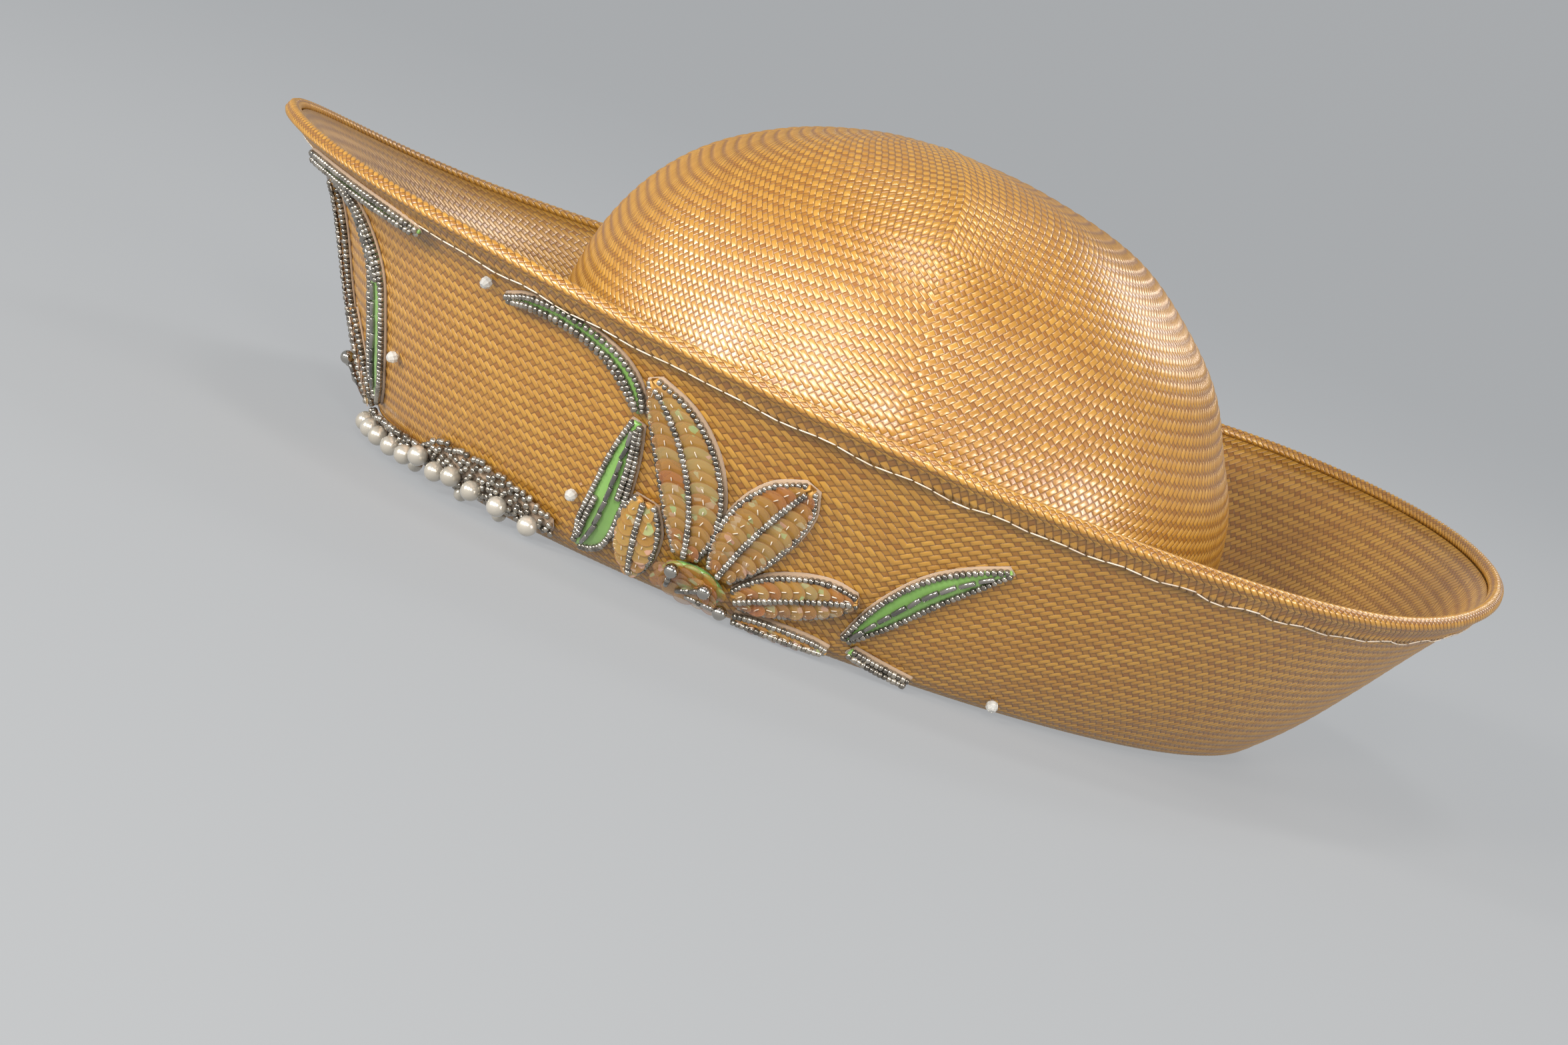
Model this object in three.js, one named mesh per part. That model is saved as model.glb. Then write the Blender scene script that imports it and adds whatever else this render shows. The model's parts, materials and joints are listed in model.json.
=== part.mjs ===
// A woven straw hat with a domed crown, a brim turned up all round, a rolled edge, and two beaded
// lilies with a spray of pearls sewn to the outside of the brim.
//
// Millimetres, +Z up. The front of the hat faces -Y and the wearer's left is +X. The origin lies
// on the surface that the hat stands on, in the middle of the rim's length and width.
import * as THREE from "three";

// Driving dimensions

const STRAW_WALL = 1.6;
const SEAT_GAP = 0.3; // clearance left between neighbouring pieces

const BRIM_STEPS = 64; // facets round the brim and its edge
const BRIM_ROWS = 11; // facets up the brim
const CROWN_STEPS = 48;
const CROWN_ROWS = 12;

// Plan ovals: reach to the front and back, half the width, and how far behind the origin they are
// widest. A point over 1 sharpens that end of the oval and a point under 1 blunts it.
const HEAD_OPENING = { front: 93.5, back: 106.5, half: 85.4, widest: 6.5, frontPoint: 1, backPoint: 1 };
const SOLE_EDGE = { front: 119, back: 119, half: 104, widest: 3, frontPoint: 1, backPoint: 1 };
const RIM = { front: 183, back: 181.5, half: 165, widest: 20, frontPoint: 1.07, backPoint: 0.93 };

// Height of the rim every eighth of a turn: it dips at the left and stands highest at the back right.
const RIM_HEIGHTS = [
  { heading: "front", height: 78 },
  { heading: "front left", height: 71.5 },
  { heading: "left", height: 60.5 },
  { heading: "back left", height: 58 },
  { heading: "back", height: 71 },
  { heading: "back right", height: 74.5 },
  { heading: "right", height: 66 },
  { heading: "front right", height: 66 },
];

// Section of the brim from the sole to the rim, as shares of its height and of its reach. The
// wall is a bowl at the sides and back, and steeper at the front with a lip that flares out.
const BRIM_PROFILE = [
  { rise: 0, reach: 0, frontReach: 0 },
  { rise: 0.035, reach: 0.2, frontReach: 0.12 },
  { rise: 0.12, reach: 0.31, frontReach: 0.25 },
  { rise: 0.28, reach: 0.46, frontReach: 0.38 },
  { rise: 0.5, reach: 0.63, frontReach: 0.52 },
  { rise: 0.72, reach: 0.79, frontReach: 0.65 },
  { rise: 0.88, reach: 0.91, frontReach: 0.78 },
  { rise: 1, reach: 1, frontReach: 1 },
];

// Sections of the crown from its seat to just under its top. The back slopes more than the front.
const CROWN_SECTIONS = [
  { height: STRAW_WALL + SEAT_GAP, front: 96.5, back: 109.5 },
  { height: 30, front: 97, back: 109.5 },
  { height: 60, front: 95, back: 106.5 },
  { height: 78, front: 91, back: 98 },
  { height: 94, front: 83.5, back: 89 },
  { height: 109, front: 71, back: 74 },
  { height: 122, front: 51, back: 54.5 },
  { height: 130, front: 27, back: 24 },
  { height: 132.5, front: 6, back: -5 },
];
const CROWN_WIDTH_SHARE = 0.855; // width of the crown over its length

// Rolled edge: a wired roll above the rim and a hem sewn flat to the outside of the brim
const ROLL_RADIUS = 2;
const HEM_DEPTH = 5;
const HEM_THICKNESS = 0.9;
const ROLL_FACETS = 8;

// The trim is laid out on the brim as on a flat pattern: millimetres round the wall from the front
// centre towards the wearer's left, and millimetres up the wall from the edge of the sole. The two
// lilies are one pattern and its mirror image, either side of a line. The front one is drawn taller,
// to fill the higher wall there, and two of its leaves have lines of their own.
const MIRROR_LINE = 97.5;
const FRONT_RAISE = 5.8;
const FRONT_STRETCH = 1.044;
const TRIM_LIFT = 0.6; // the back of the trim stands this far off the straw
const HEM_LIFT = SEAT_GAP + HEM_THICKNESS + 0.5; // and this far where it laps over the hem
const TRIM_ROWS = 7; // sections along a petal or a leaf

// Petals: where they leave the throat, the bow of their midrib, their tip and their full width
const PETALS = [
  { name: "petal_tall", base: [182.5, 28.5], bow: [182.5, 55], tip: [165, 77], width: 16.5 },
  { name: "petal_back", base: [193, 27.5], bow: [198.5, 48], tip: [206.5, 67.5], width: 16 },
  { name: "petal_side", base: [199.5, 21.5], bow: [214, 32], tip: [229, 39.5], width: 13.5 },
  { name: "petal_low", base: [201, 13], bow: [215, 13.8], tip: [231, 15.5], width: 7 },
  { name: "petal_near", base: [168.5, 40], bow: [167, 27.5], tip: [166.5, 13.5], width: 12.5 },
];
const PETAL_EDGE = 0.7;
const PETAL_CROWN = 1.8;
const PETAL_GROOVE = 1.2;

// Leaves: points along the midrib, each with the full width there
const LEAVES = [
  {
    name: "leaf_top",
    spine: [
      { around: 123, up: 79, width: 1 },
      { around: 134, up: 82.5, width: 4.6 },
      { around: 145, up: 82, width: 5.4 },
      { around: 154, up: 77.5, width: 5.4 },
      { around: 160, up: 70.5, width: 4.4 },
      { around: 162.5, up: 64.5, width: 2 },
    ],
  },
  {
    name: "leaf_foot",
    spine: [
      { around: 162.5, up: 61.5, width: 2 },
      { around: 160.5, up: 50, width: 6.6 },
      { around: 157, up: 34, width: 9.6 },
      { around: 152.5, up: 21.5, width: 9.6 },
      { around: 147, up: 15, width: 2 },
    ],
  },
  {
    name: "leaf_back",
    spine: [
      { around: 232.5, up: 24, width: 1.6 },
      { around: 236.5, up: 37, width: 7 },
      { around: 243, up: 53, width: 8 },
      { around: 249, up: 62, width: 5.6 },
      { around: 255, up: 69.5, width: 1 },
    ],
  },
  {
    name: "stem",
    spine: [
      { around: 236, up: 20, width: 2.2 },
      { around: 246, up: 17.5, width: 2.6 },
      { around: 256, up: 16, width: 1.8 },
    ],
  },
];

// Leaves of the front lily that differ: one runs along under the rim and laps over the hem, and the
// other bows away from the petals
const FRONT_LEAVES = {
  leaf_top: {
    lift: HEM_LIFT,
    spine: [
      { around: 36, up: 95.5, width: 1 },
      { around: 50, up: 95.5, width: 4.6 },
      { around: 64, up: 94, width: 5.2 },
      { around: 78, up: 92, width: 4.8 },
      { around: 90, up: 90.5, width: 3.6 },
      { around: 98, up: 89.5, width: 1 },
    ],
  },
  leaf_foot: {
    lift: TRIM_LIFT,
    spine: [
      { around: 41, up: 88, width: 2 },
      { around: 54, up: 79, width: 5.5 },
      { around: 61, up: 66, width: 7.5 },
      { around: 58, up: 50, width: 8.5 },
      { around: 50, up: 34, width: 8.5 },
      { around: 43, up: 24, width: 2 },
    ],
  },
};
const LEAF_EDGE = 0.6;
const LEAF_CROWN = 1.2;

// Throat of a lily: an oval pad with three stamens, each a stalk that ends in a round bead
const THROAT = { around: 186, up: 19.5, halfLength: 10, halfWidth: 7, edge: 0.9, crown: 2.1 };
const STAMENS = [
  { foot: [179.5, 18], bead: [181, 25.5] },
  { foot: [183, 17.5], bead: [191.5, 23.5] },
  { foot: [186, 17], bead: [197.5, 18.5] },
];
const STALK_RADIUS = 0.75;
const STALK_LIFTS = { foot: 3.5, bead: 5 };
const STAMEN_BEAD_RADIUS = 2;

// Spray between the lilies: a beaded band with pearls along it, and a few smaller pearls below
const BAND = [
  { around: 27, up: 17, width: 2.5 },
  { around: 49, up: 16.8, width: 3.6 },
  { around: 66, up: 17, width: 4.2 },
  { around: 79, up: 17.2, width: 4.6 },
  { around: 91, up: 18.5, width: 9.5 },
  { around: 105, up: 19, width: 10.5 },
  { around: 123, up: 18.5, width: 8.6 },
  { around: 138, up: 16.5, width: 4.4 },
];
const BAND_EDGE = 0.8;
const BAND_CROWN = 1.4;
const BAND_ROWS = 16;
const PEARL_RADIUS = 2.8;
const PEARLS = [
  { around: 29, up: 17 },
  { around: 38, up: 16.8 },
  { around: 49, up: 16.8 },
  { around: 61, up: 16.8 },
  { around: 72, up: 17.2 },
  { around: 83, up: 20 },
  { around: 91, up: 18 },
  { around: 100, up: 19.5 },
  { around: 109, up: 18.5 },
  { around: 120, up: 18 },
  { around: 132, up: 16.8 },
];
const SMALL_PEARL_RADIUS = 2.1;
const SMALL_PEARLS = [
  { around: 66, up: 11 },
  { around: 96, up: 11.2 },
  { around: 115, up: 11.6 },
  { around: 127, up: 11.8 },
];
const SPOT_RADIUS = 1.7;
const SPOT_BEADS = [
  { around: 118, up: 82 },
  { around: 70, up: 43 },
  { around: 146, up: 31 },
  { around: 280, up: 20 },
];

const FULL_TURN = 2 * Math.PI;

// Surfaces of the straw

// Point of a plan oval. The turn runs from the front by the wearer's left.
function ovalPoint(oval, turn) {
  const forward = Math.cos(turn);
  const sideways = Math.sin(turn);
  const reach = forward > 0 ? oval.front + oval.widest : oval.back - oval.widest;
  const point = forward > 0 ? oval.frontPoint : oval.backPoint;
  const x = oval.half * Math.sign(sideways) * Math.abs(sideways) ** point;
  return new THREE.Vector2(x, oval.widest - reach * forward);
}

const rimHeightCurve = new THREE.CatmullRomCurve3(
  RIM_HEIGHTS.map((row, index) => new THREE.Vector3(index, row.height, 0)),
  true,
  "catmullrom",
);

function rimHeight(turn) {
  const share = turn / FULL_TURN;
  return rimHeightCurve.getPoint(share - Math.floor(share)).y;
}

const bowlProfile = new THREE.SplineCurve(
  BRIM_PROFILE.map((row) => new THREE.Vector2(row.reach, row.rise)),
);
const frontProfile = new THREE.SplineCurve(
  BRIM_PROFILE.map((row) => new THREE.Vector2(row.frontReach, row.rise)),
);

// Point on the outside of the brim. The climb is 0 at the sole and 1 at the rim.
function brimPoint(turn, climb) {
  const bowl = bowlProfile.getPoint(climb);
  const front = frontProfile.getPoint(climb);
  const frontness = ((1 + Math.cos(turn)) / 2) ** 2;
  const reach = THREE.MathUtils.lerp(bowl.x, front.x, frontness);
  const plan = ovalPoint(SOLE_EDGE, turn).lerp(ovalPoint(RIM, turn), reach);
  return new THREE.Vector3(plan.x, plan.y, bowl.y * rimHeight(turn));
}

const crownCurve = new THREE.CatmullRomCurve3(
  CROWN_SECTIONS.map((row) => new THREE.Vector3(row.front, row.back, row.height)),
  false,
  "centripetal",
);

// Point on the outside of the crown. The climb is 0 at its seat and 1 at its top.
function crownPoint(turn, climb) {
  const section = crownCurve.getPoint(climb);
  const halfLength = (section.x + section.y) / 2;
  const middle = (section.y - section.x) / 2;
  const x = CROWN_WIDTH_SHARE * halfLength * Math.sin(turn);
  return new THREE.Vector3(x, middle - halfLength * Math.cos(turn), section.z);
}

// Outward normal of a surface given as a function of turn and climb
function outwardNormal(surface, turn, climb) {
  const step = 1e-3;
  const low = Math.max(climb - step, 0);
  const high = Math.min(climb + step, 1);
  const around = surface(turn + step, climb).sub(surface(turn - step, climb));
  const upward = surface(turn, high).sub(surface(turn, low));
  return around.cross(upward).normalize();
}

function offsetPoint(surface, turn, climb, lift) {
  return surface(turn, climb).addScaledVector(outwardNormal(surface, turn, climb), lift);
}

// Solids

// Closed skin over a list of rings that each run the same way round. A ring of one point is a tip.
// Looped rings join the last to the first, and open ones end in tips or flat ends.
function skin(rings, looped = false) {
  const points = rings.flat();
  const starts = [];
  let count = 0;
  for (const ring of rings) {
    starts.push(count);
    count += ring.length;
  }
  const triangles = [];
  const bands = looped ? rings.length : rings.length - 1;
  for (let band = 0; band < bands; band++) {
    const next = (band + 1) % rings.length;
    const here = rings[band].length;
    const there = rings[next].length;
    const sides = Math.max(here, there);
    for (let side = 0; side < sides; side++) {
      const after = (side + 1) % sides;
      const a = starts[band] + (side % here);
      const b = starts[band] + (after % here);
      const c = starts[next] + (after % there);
      const d = starts[next] + (side % there);
      if (here > 1) triangles.push(a, b, c);
      if (there > 1) triangles.push(a, c, d);
    }
  }
  const geometry = new THREE.BufferGeometry().setFromPoints(points);
  geometry.setIndex(facingOut(points, triangles));
  geometry.computeVertexNormals();
  return geometry;
}

// The same triangles, turned over when they enclose a negative volume
function facingOut(points, triangles) {
  let volume = 0;
  for (let index = 0; index < triangles.length; index += 3) {
    const [a, b, c] = triangles.slice(index, index + 3).map((corner) => points[corner]);
    volume += a.dot(b.clone().cross(c));
  }
  return volume > 0 ? triangles : triangles.reverse();
}

// Ring of points round the hat
function ringAround(steps, pointAt) {
  return Array.from({ length: steps }, (_, step) => pointAt((step / steps) * FULL_TURN));
}

// Evenly spread shares from 0 to 1
function shares(rows) {
  return Array.from({ length: rows + 1 }, (_, row) => row / rows);
}

const hat = new THREE.Group();
hat.name = "straw_hat";

function addPiece(name, geometry, material) {
  const mesh = new THREE.Mesh(geometry, material);
  mesh.name = name;
  hat.add(mesh);
}

const straw = new THREE.MeshStandardMaterial({ name: "straw", color: 0xc8914b, roughness: 0.45 });

// Crown: down the outside from the top, round the lower edge, and up the inside
function crownGeometry() {
  const climbs = shares(CROWN_ROWS);
  const ring = (climb, lift) =>
    ringAround(CROWN_STEPS, (turn) => offsetPoint(crownPoint, turn, climb, lift));
  const top = CROWN_SECTIONS.at(-1);
  const outerTip = new THREE.Vector3(0, (top.back - top.front) / 2, top.height);
  const innerTip = outerTip.clone().setZ(top.height - STRAW_WALL);
  const outside = climbs.map((climb) => ring(climb, 0));
  const inside = climbs.map((climb) => ring(climb, -STRAW_WALL));
  return skin([[outerTip], ...outside.reverse(), ...inside, [innerTip]]);
}

// Brim: the flat sole from the head opening to its edge, up the outside, and back down the inside
function brimGeometry() {
  const climbs = shares(BRIM_ROWS);
  const sole = (height) =>
    ringAround(BRIM_STEPS, (turn) => {
      const plan = ovalPoint(HEAD_OPENING, turn);
      return new THREE.Vector3(plan.x, plan.y, height);
    });
  const outside = climbs.map((climb) => ringAround(BRIM_STEPS, (turn) => brimPoint(turn, climb)));
  const inside = climbs.map((climb) =>
    ringAround(BRIM_STEPS, (turn) => {
      const lift = -STRAW_WALL;
      return offsetPoint(brimPoint, turn, climb, lift);
    }),
  );
  return skin([sole(0), ...outside, ...inside.reverse(), sole(STRAW_WALL)], true);
}

// Rolled edge: its section is drawn across the wall (outward) and along it (upward), from the rim
function rollSection() {
  const rollCentre = { out: -0.4, up: ROLL_RADIUS + SEAT_GAP };
  const hemIn = SEAT_GAP;
  const hemOut = SEAT_GAP + HEM_THICKNESS;
  const arcStart = -Math.acos((hemOut - rollCentre.out) / ROLL_RADIUS);
  const arcEnd = FULL_TURN - Math.acos((hemIn - rollCentre.out) / ROLL_RADIUS);
  const arc = shares(ROLL_FACETS).map((share) => {
    const angle = THREE.MathUtils.lerp(arcStart, arcEnd, share);
    return [rollCentre.out + ROLL_RADIUS * Math.cos(angle), rollCentre.up + ROLL_RADIUS * Math.sin(angle)];
  });
  return [[hemIn, -HEM_DEPTH], [hemOut, -HEM_DEPTH], ...arc];
}

function rollGeometry() {
  const rings = rollSection().map(([out, up]) =>
    ringAround(BRIM_STEPS, (turn) => {
      const rim = brimPoint(turn, 1);
      const outward = outwardNormal(brimPoint, turn, 1);
      const alongWall = rim.clone().sub(brimPoint(turn, 0.96)).normalize();
      return rim.addScaledVector(outward, out).addScaledVector(alongWall, up);
    }),
  );
  return skin(rings, true);
}

// Trim laid out on the brim

// Turn of the brim for a distance round its wall, measured half way up
const GIRTH_STEPS = 720;
const girthTable = [0];
for (let step = 1; step <= GIRTH_STEPS; step++) {
  const here = brimPoint((step / GIRTH_STEPS) * Math.PI, 0.5).setZ(0);
  const before = brimPoint(((step - 1) / GIRTH_STEPS) * Math.PI, 0.5).setZ(0);
  girthTable.push(girthTable[step - 1] + here.distanceTo(before));
}

function turnAt(around) {
  const wanted = Math.abs(around);
  const step = girthTable.findIndex((length) => length >= wanted);
  const part = step === 0 ? 0 : (wanted - girthTable[step - 1]) / (girthTable[step] - girthTable[step - 1]);
  return (Math.sign(around) * (step - 1 + part) * Math.PI) / GIRTH_STEPS;
}

// Climb of the brim for a distance up its wall
const CLIMB_STEPS = 200;
function climbAt(turn, up) {
  let length = 0;
  let before = brimPoint(turn, 0);
  for (let step = 1; step <= CLIMB_STEPS; step++) {
    const here = brimPoint(turn, step / CLIMB_STEPS);
    const span = here.distanceTo(before);
    if (length + span >= up) {
      return (step - 1 + (up - length) / span) / CLIMB_STEPS;
    }
    length += span;
    before = here;
  }
  return 1;
}

// Point of the pattern laid on the brim, lifted off the straw. The front lily is mirrored.
function onBrim(around, up, lift, mirrored) {
  const turn = turnAt(mirrored ? 2 * MIRROR_LINE - around : around);
  const height = mirrored ? FRONT_RAISE + FRONT_STRETCH * up : up;
  return offsetPoint(brimPoint, turn, climbAt(turn, height), lift);
}

function middleOf(ring) {
  const sum = ring.reduce((total, point) => total.add(point), new THREE.Vector3());
  return sum.divideScalar(ring.length);
}

// Padded strip along a spine of pattern points. Each spine point carries its own full width, and
// the section gives the lift of the padding from one edge to the other.
function stripGeometry(spinePoints, section, rows, mirrored, standOff = TRIM_LIFT) {
  const spine = new THREE.CatmullRomCurve3(
    spinePoints.map(({ around, up, width }) => new THREE.Vector3(around, up, width)),
    false,
    "centripetal",
  );
  const rings = shares(rows).map((share) => {
    const { x: around, y: up, z: width } = spine.getPoint(share);
    const along = spine.getTangent(share);
    const across = new THREE.Vector2(-along.y, along.x).normalize();
    return section.map(({ side, lift }) => {
      const reach = (side * width) / 2;
      return onBrim(around + across.x * reach, up + across.y * reach, standOff + lift, mirrored);
    });
  });
  return skin([[middleOf(rings[0])], ...rings, [middleOf(rings.at(-1))]]);
}

// Section of a petal: flat behind, with two rounded lobes either side of a groove in front
const petalSection = [
  { side: -1, lift: 0 },
  { side: 1, lift: 0 },
  { side: 0.96, lift: PETAL_EDGE },
  { side: 0.5, lift: PETAL_CROWN },
  { side: 0, lift: PETAL_GROOVE },
  { side: -0.5, lift: PETAL_CROWN },
  { side: -0.96, lift: PETAL_EDGE },
];

// Section of a leaf or of the band: flat behind and gently domed in front
function domedSection(edge, crown) {
  return [
    { side: -1, lift: 0 },
    { side: 1, lift: 0 },
    { side: 0.94, lift: edge },
    { side: 0, lift: crown },
    { side: -0.94, lift: edge },
  ];
}

// Spine of a petal: it swells quickly from its base and narrows to a pointed tip
const PETAL_SWELL = [0.38, 0.76, 0.96, 1, 0.93, 0.7, 0.12];
function petalSpine({ base, bow, tip, width }) {
  const midrib = new THREE.QuadraticBezierCurve(
    new THREE.Vector2(...base),
    new THREE.Vector2(...bow),
    new THREE.Vector2(...tip),
  );
  return PETAL_SWELL.map((swell, index) => {
    const point = midrib.getPoint(index / (PETAL_SWELL.length - 1));
    return { around: point.x, up: point.y, width: swell * width };
  });
}

function throatGeometry(mirrored) {
  const ring = (size, lift) =>
    ringAround(14, (angle) =>
      onBrim(
        THROAT.around + size * THROAT.halfLength * Math.cos(angle),
        THROAT.up + size * THROAT.halfWidth * Math.sin(angle),
        TRIM_LIFT + lift,
        mirrored,
      ),
    );
  const back = [onBrim(THROAT.around, THROAT.up, TRIM_LIFT, mirrored)];
  const front = [onBrim(THROAT.around, THROAT.up, TRIM_LIFT + THROAT.crown, mirrored)];
  return skin([back, ring(1, 0), ring(0.97, THROAT.edge), ring(0.6, THROAT.crown), front]);
}

// Stamen: a stalk turned about its axis that ends in a round bead
function stamenGeometry({ foot, bead }, mirrored) {
  const from = onBrim(...foot, STALK_LIFTS.foot, mirrored);
  const to = onBrim(...bead, STALK_LIFTS.bead, mirrored);
  const length = from.distanceTo(to);
  const neck = Math.PI - Math.asin(STALK_RADIUS / STAMEN_BEAD_RADIUS);
  const profile = [new THREE.Vector2(0, 0), new THREE.Vector2(STALK_RADIUS, 0)];
  for (const share of shares(5)) {
    const angle = neck * (1 - share);
    const radius = share === 1 ? 0 : STAMEN_BEAD_RADIUS * Math.sin(angle);
    profile.push(new THREE.Vector2(radius, length + STAMEN_BEAD_RADIUS * Math.cos(angle)));
  }
  const geometry = new THREE.LatheGeometry(profile, 8);
  const lean = new THREE.Quaternion().setFromUnitVectors(
    new THREE.Vector3(0, 1, 0),
    to.clone().sub(from).normalize(),
  );
  return geometry.applyQuaternion(lean).translate(from.x, from.y, from.z);
}

function beadGeometry({ around, up }, radius, lift, sides) {
  const centre = onBrim(around, up, lift + radius, false);
  return new THREE.SphereGeometry(radius, sides, sides / 2).translate(centre.x, centre.y, centre.z);
}

const sequin = new THREE.MeshStandardMaterial({ name: "sequin", color: 0xd09a4c, roughness: 0.2 });
const satin = new THREE.MeshStandardMaterial({ name: "satin", color: 0x69b955, roughness: 0.35 });
const silver = new THREE.MeshStandardMaterial({
  name: "silver_bead",
  color: 0x8c8478,
  roughness: 0.15,
  metalness: 0.8,
});
const pearl = new THREE.MeshStandardMaterial({ name: "pearl", color: 0xf2ead8, roughness: 0.15 });
const crystal = new THREE.MeshStandardMaterial({ name: "crystal", color: 0xe8e6e0, roughness: 0.05 });

function addLily(name, mirrored) {
  for (const petal of PETALS) {
    const padding = stripGeometry(petalSpine(petal), petalSection, TRIM_ROWS, mirrored);
    addPiece(`${name}_${petal.name}`, padding, sequin);
  }
  for (const leaf of LEAVES) {
    const section = domedSection(LEAF_EDGE, LEAF_CROWN);
    const own = mirrored ? FRONT_LEAVES[leaf.name] : undefined;
    const padding = own
      ? stripGeometry(own.spine, section, TRIM_ROWS, false, own.lift)
      : stripGeometry(leaf.spine, section, TRIM_ROWS, mirrored);
    addPiece(`${name}_${leaf.name}`, padding, satin);
  }
  addPiece(`${name}_throat`, throatGeometry(mirrored), satin);
  STAMENS.forEach((stamen, index) => {
    addPiece(`${name}_stamen_${index + 1}`, stamenGeometry(stamen, mirrored), silver);
  });
}

addPiece("crown", crownGeometry(), straw);
addPiece("brim", brimGeometry(), straw);
addPiece("rim_roll", rollGeometry(), straw);
addLily("side_lily", false);
addLily("front_lily", true);

const bandTop = TRIM_LIFT + BAND_CROWN;
const bandSection = domedSection(BAND_EDGE, BAND_CROWN);
addPiece("pearl_band", stripGeometry(BAND, bandSection, BAND_ROWS, false), silver);
PEARLS.forEach((place, index) => {
  addPiece(`pearl_${index + 1}`, beadGeometry(place, PEARL_RADIUS, bandTop + SEAT_GAP, 12), pearl);
});
SMALL_PEARLS.forEach((place, index) => {
  addPiece(`small_pearl_${index + 1}`, beadGeometry(place, SMALL_PEARL_RADIUS, SEAT_GAP, 10), pearl);
});
SPOT_BEADS.forEach((place, index) => {
  addPiece(`spot_bead_${index + 1}`, beadGeometry(place, SPOT_RADIUS, SEAT_GAP, 8), crystal);
});

export default hat;
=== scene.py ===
# %% [markdown]
# # A straw hat with beaded lilies
#
# The hat is woven from fine straw in a two-over-one twill, blocked into a domed crown and a brim
# that turns up all round. Two lilies of sequins and seed beads and a spray of pearls are sewn to
# the outside of the brim at the left front. The solids give the forms, and this script dresses
# them: it weaves the straw, plaits the edge, sews on the beads and lights the result.

import json
from functools import partial
from math import hypot

import bpy
import numpy as np
from mathutils import Matrix, Vector

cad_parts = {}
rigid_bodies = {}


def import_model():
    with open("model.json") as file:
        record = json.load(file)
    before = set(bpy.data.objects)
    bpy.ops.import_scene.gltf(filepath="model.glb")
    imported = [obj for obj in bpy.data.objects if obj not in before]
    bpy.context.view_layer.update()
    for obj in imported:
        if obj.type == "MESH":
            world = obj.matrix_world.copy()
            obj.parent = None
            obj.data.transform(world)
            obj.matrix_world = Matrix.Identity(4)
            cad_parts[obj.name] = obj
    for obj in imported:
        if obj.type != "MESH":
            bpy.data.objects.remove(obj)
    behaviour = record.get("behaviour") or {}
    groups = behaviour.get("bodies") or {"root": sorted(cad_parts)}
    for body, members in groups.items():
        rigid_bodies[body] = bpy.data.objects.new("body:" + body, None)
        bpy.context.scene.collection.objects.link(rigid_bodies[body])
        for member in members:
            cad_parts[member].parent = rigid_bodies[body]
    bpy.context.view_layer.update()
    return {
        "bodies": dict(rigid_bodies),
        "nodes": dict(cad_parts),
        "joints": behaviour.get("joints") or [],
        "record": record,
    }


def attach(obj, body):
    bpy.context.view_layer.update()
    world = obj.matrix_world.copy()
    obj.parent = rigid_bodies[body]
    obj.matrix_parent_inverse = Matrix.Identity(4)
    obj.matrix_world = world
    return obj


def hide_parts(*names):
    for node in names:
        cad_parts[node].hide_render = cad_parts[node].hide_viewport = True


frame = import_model()
MM = 0.001
rng = np.random.default_rng(7)

# %% [markdown]
# ## The form of the straw
#
# The crown and brim follow the same sizes as the solids, because the dressed pieces take their
# place: plan ovals for the sole and the rim, a table of rim heights, and a section for each wall.
# All sizes are in millimetres until a mesh is made.

# %% Sizes of the straw
STRAW_WALL = 1.6
HEAD_OPENING = dict(front=93.5, back=106.5, half=85.4, widest=6.5, front_point=1, back_point=1)
SOLE_EDGE = dict(front=119, back=119, half=104, widest=3, front_point=1, back_point=1)
RIM = dict(front=183, back=181.5, half=165, widest=20, front_point=1.07, back_point=0.93)

# Height of the rim every eighth of a turn, from the front by the wearer's left
RIM_HEIGHTS = [78, 71.5, 60.5, 58, 71, 74.5, 66, 66]

# Rise, reach at the sides and back, and reach at the front, as shares of the whole
BRIM_PROFILE = np.array([
    [0, 0, 0],
    [0.035, 0.2, 0.12],
    [0.12, 0.31, 0.25],
    [0.28, 0.46, 0.38],
    [0.5, 0.63, 0.52],
    [0.72, 0.79, 0.65],
    [0.88, 0.91, 0.78],
    [1, 1, 1],
])

# Height, front reach and back reach of the crown's sections
CROWN_SECTIONS = np.array([
    [1.9, 96.5, 109.5],
    [30, 97, 109.5],
    [60, 95, 106.5],
    [78, 91, 98],
    [94, 83.5, 89],
    [109, 71, 74],
    [122, 51, 54.5],
    [130, 27, 24],
    [132.5, 6, -5],
])
CROWN_WIDTH_SHARE = 0.855
print("the rim is", RIM["front"] + RIM["back"], "mm long and", 2 * RIM["half"], "mm wide")


# %% Curves
SLOPE_STEP = 1e-3  # small step along a curve or surface, to find its direction


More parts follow.
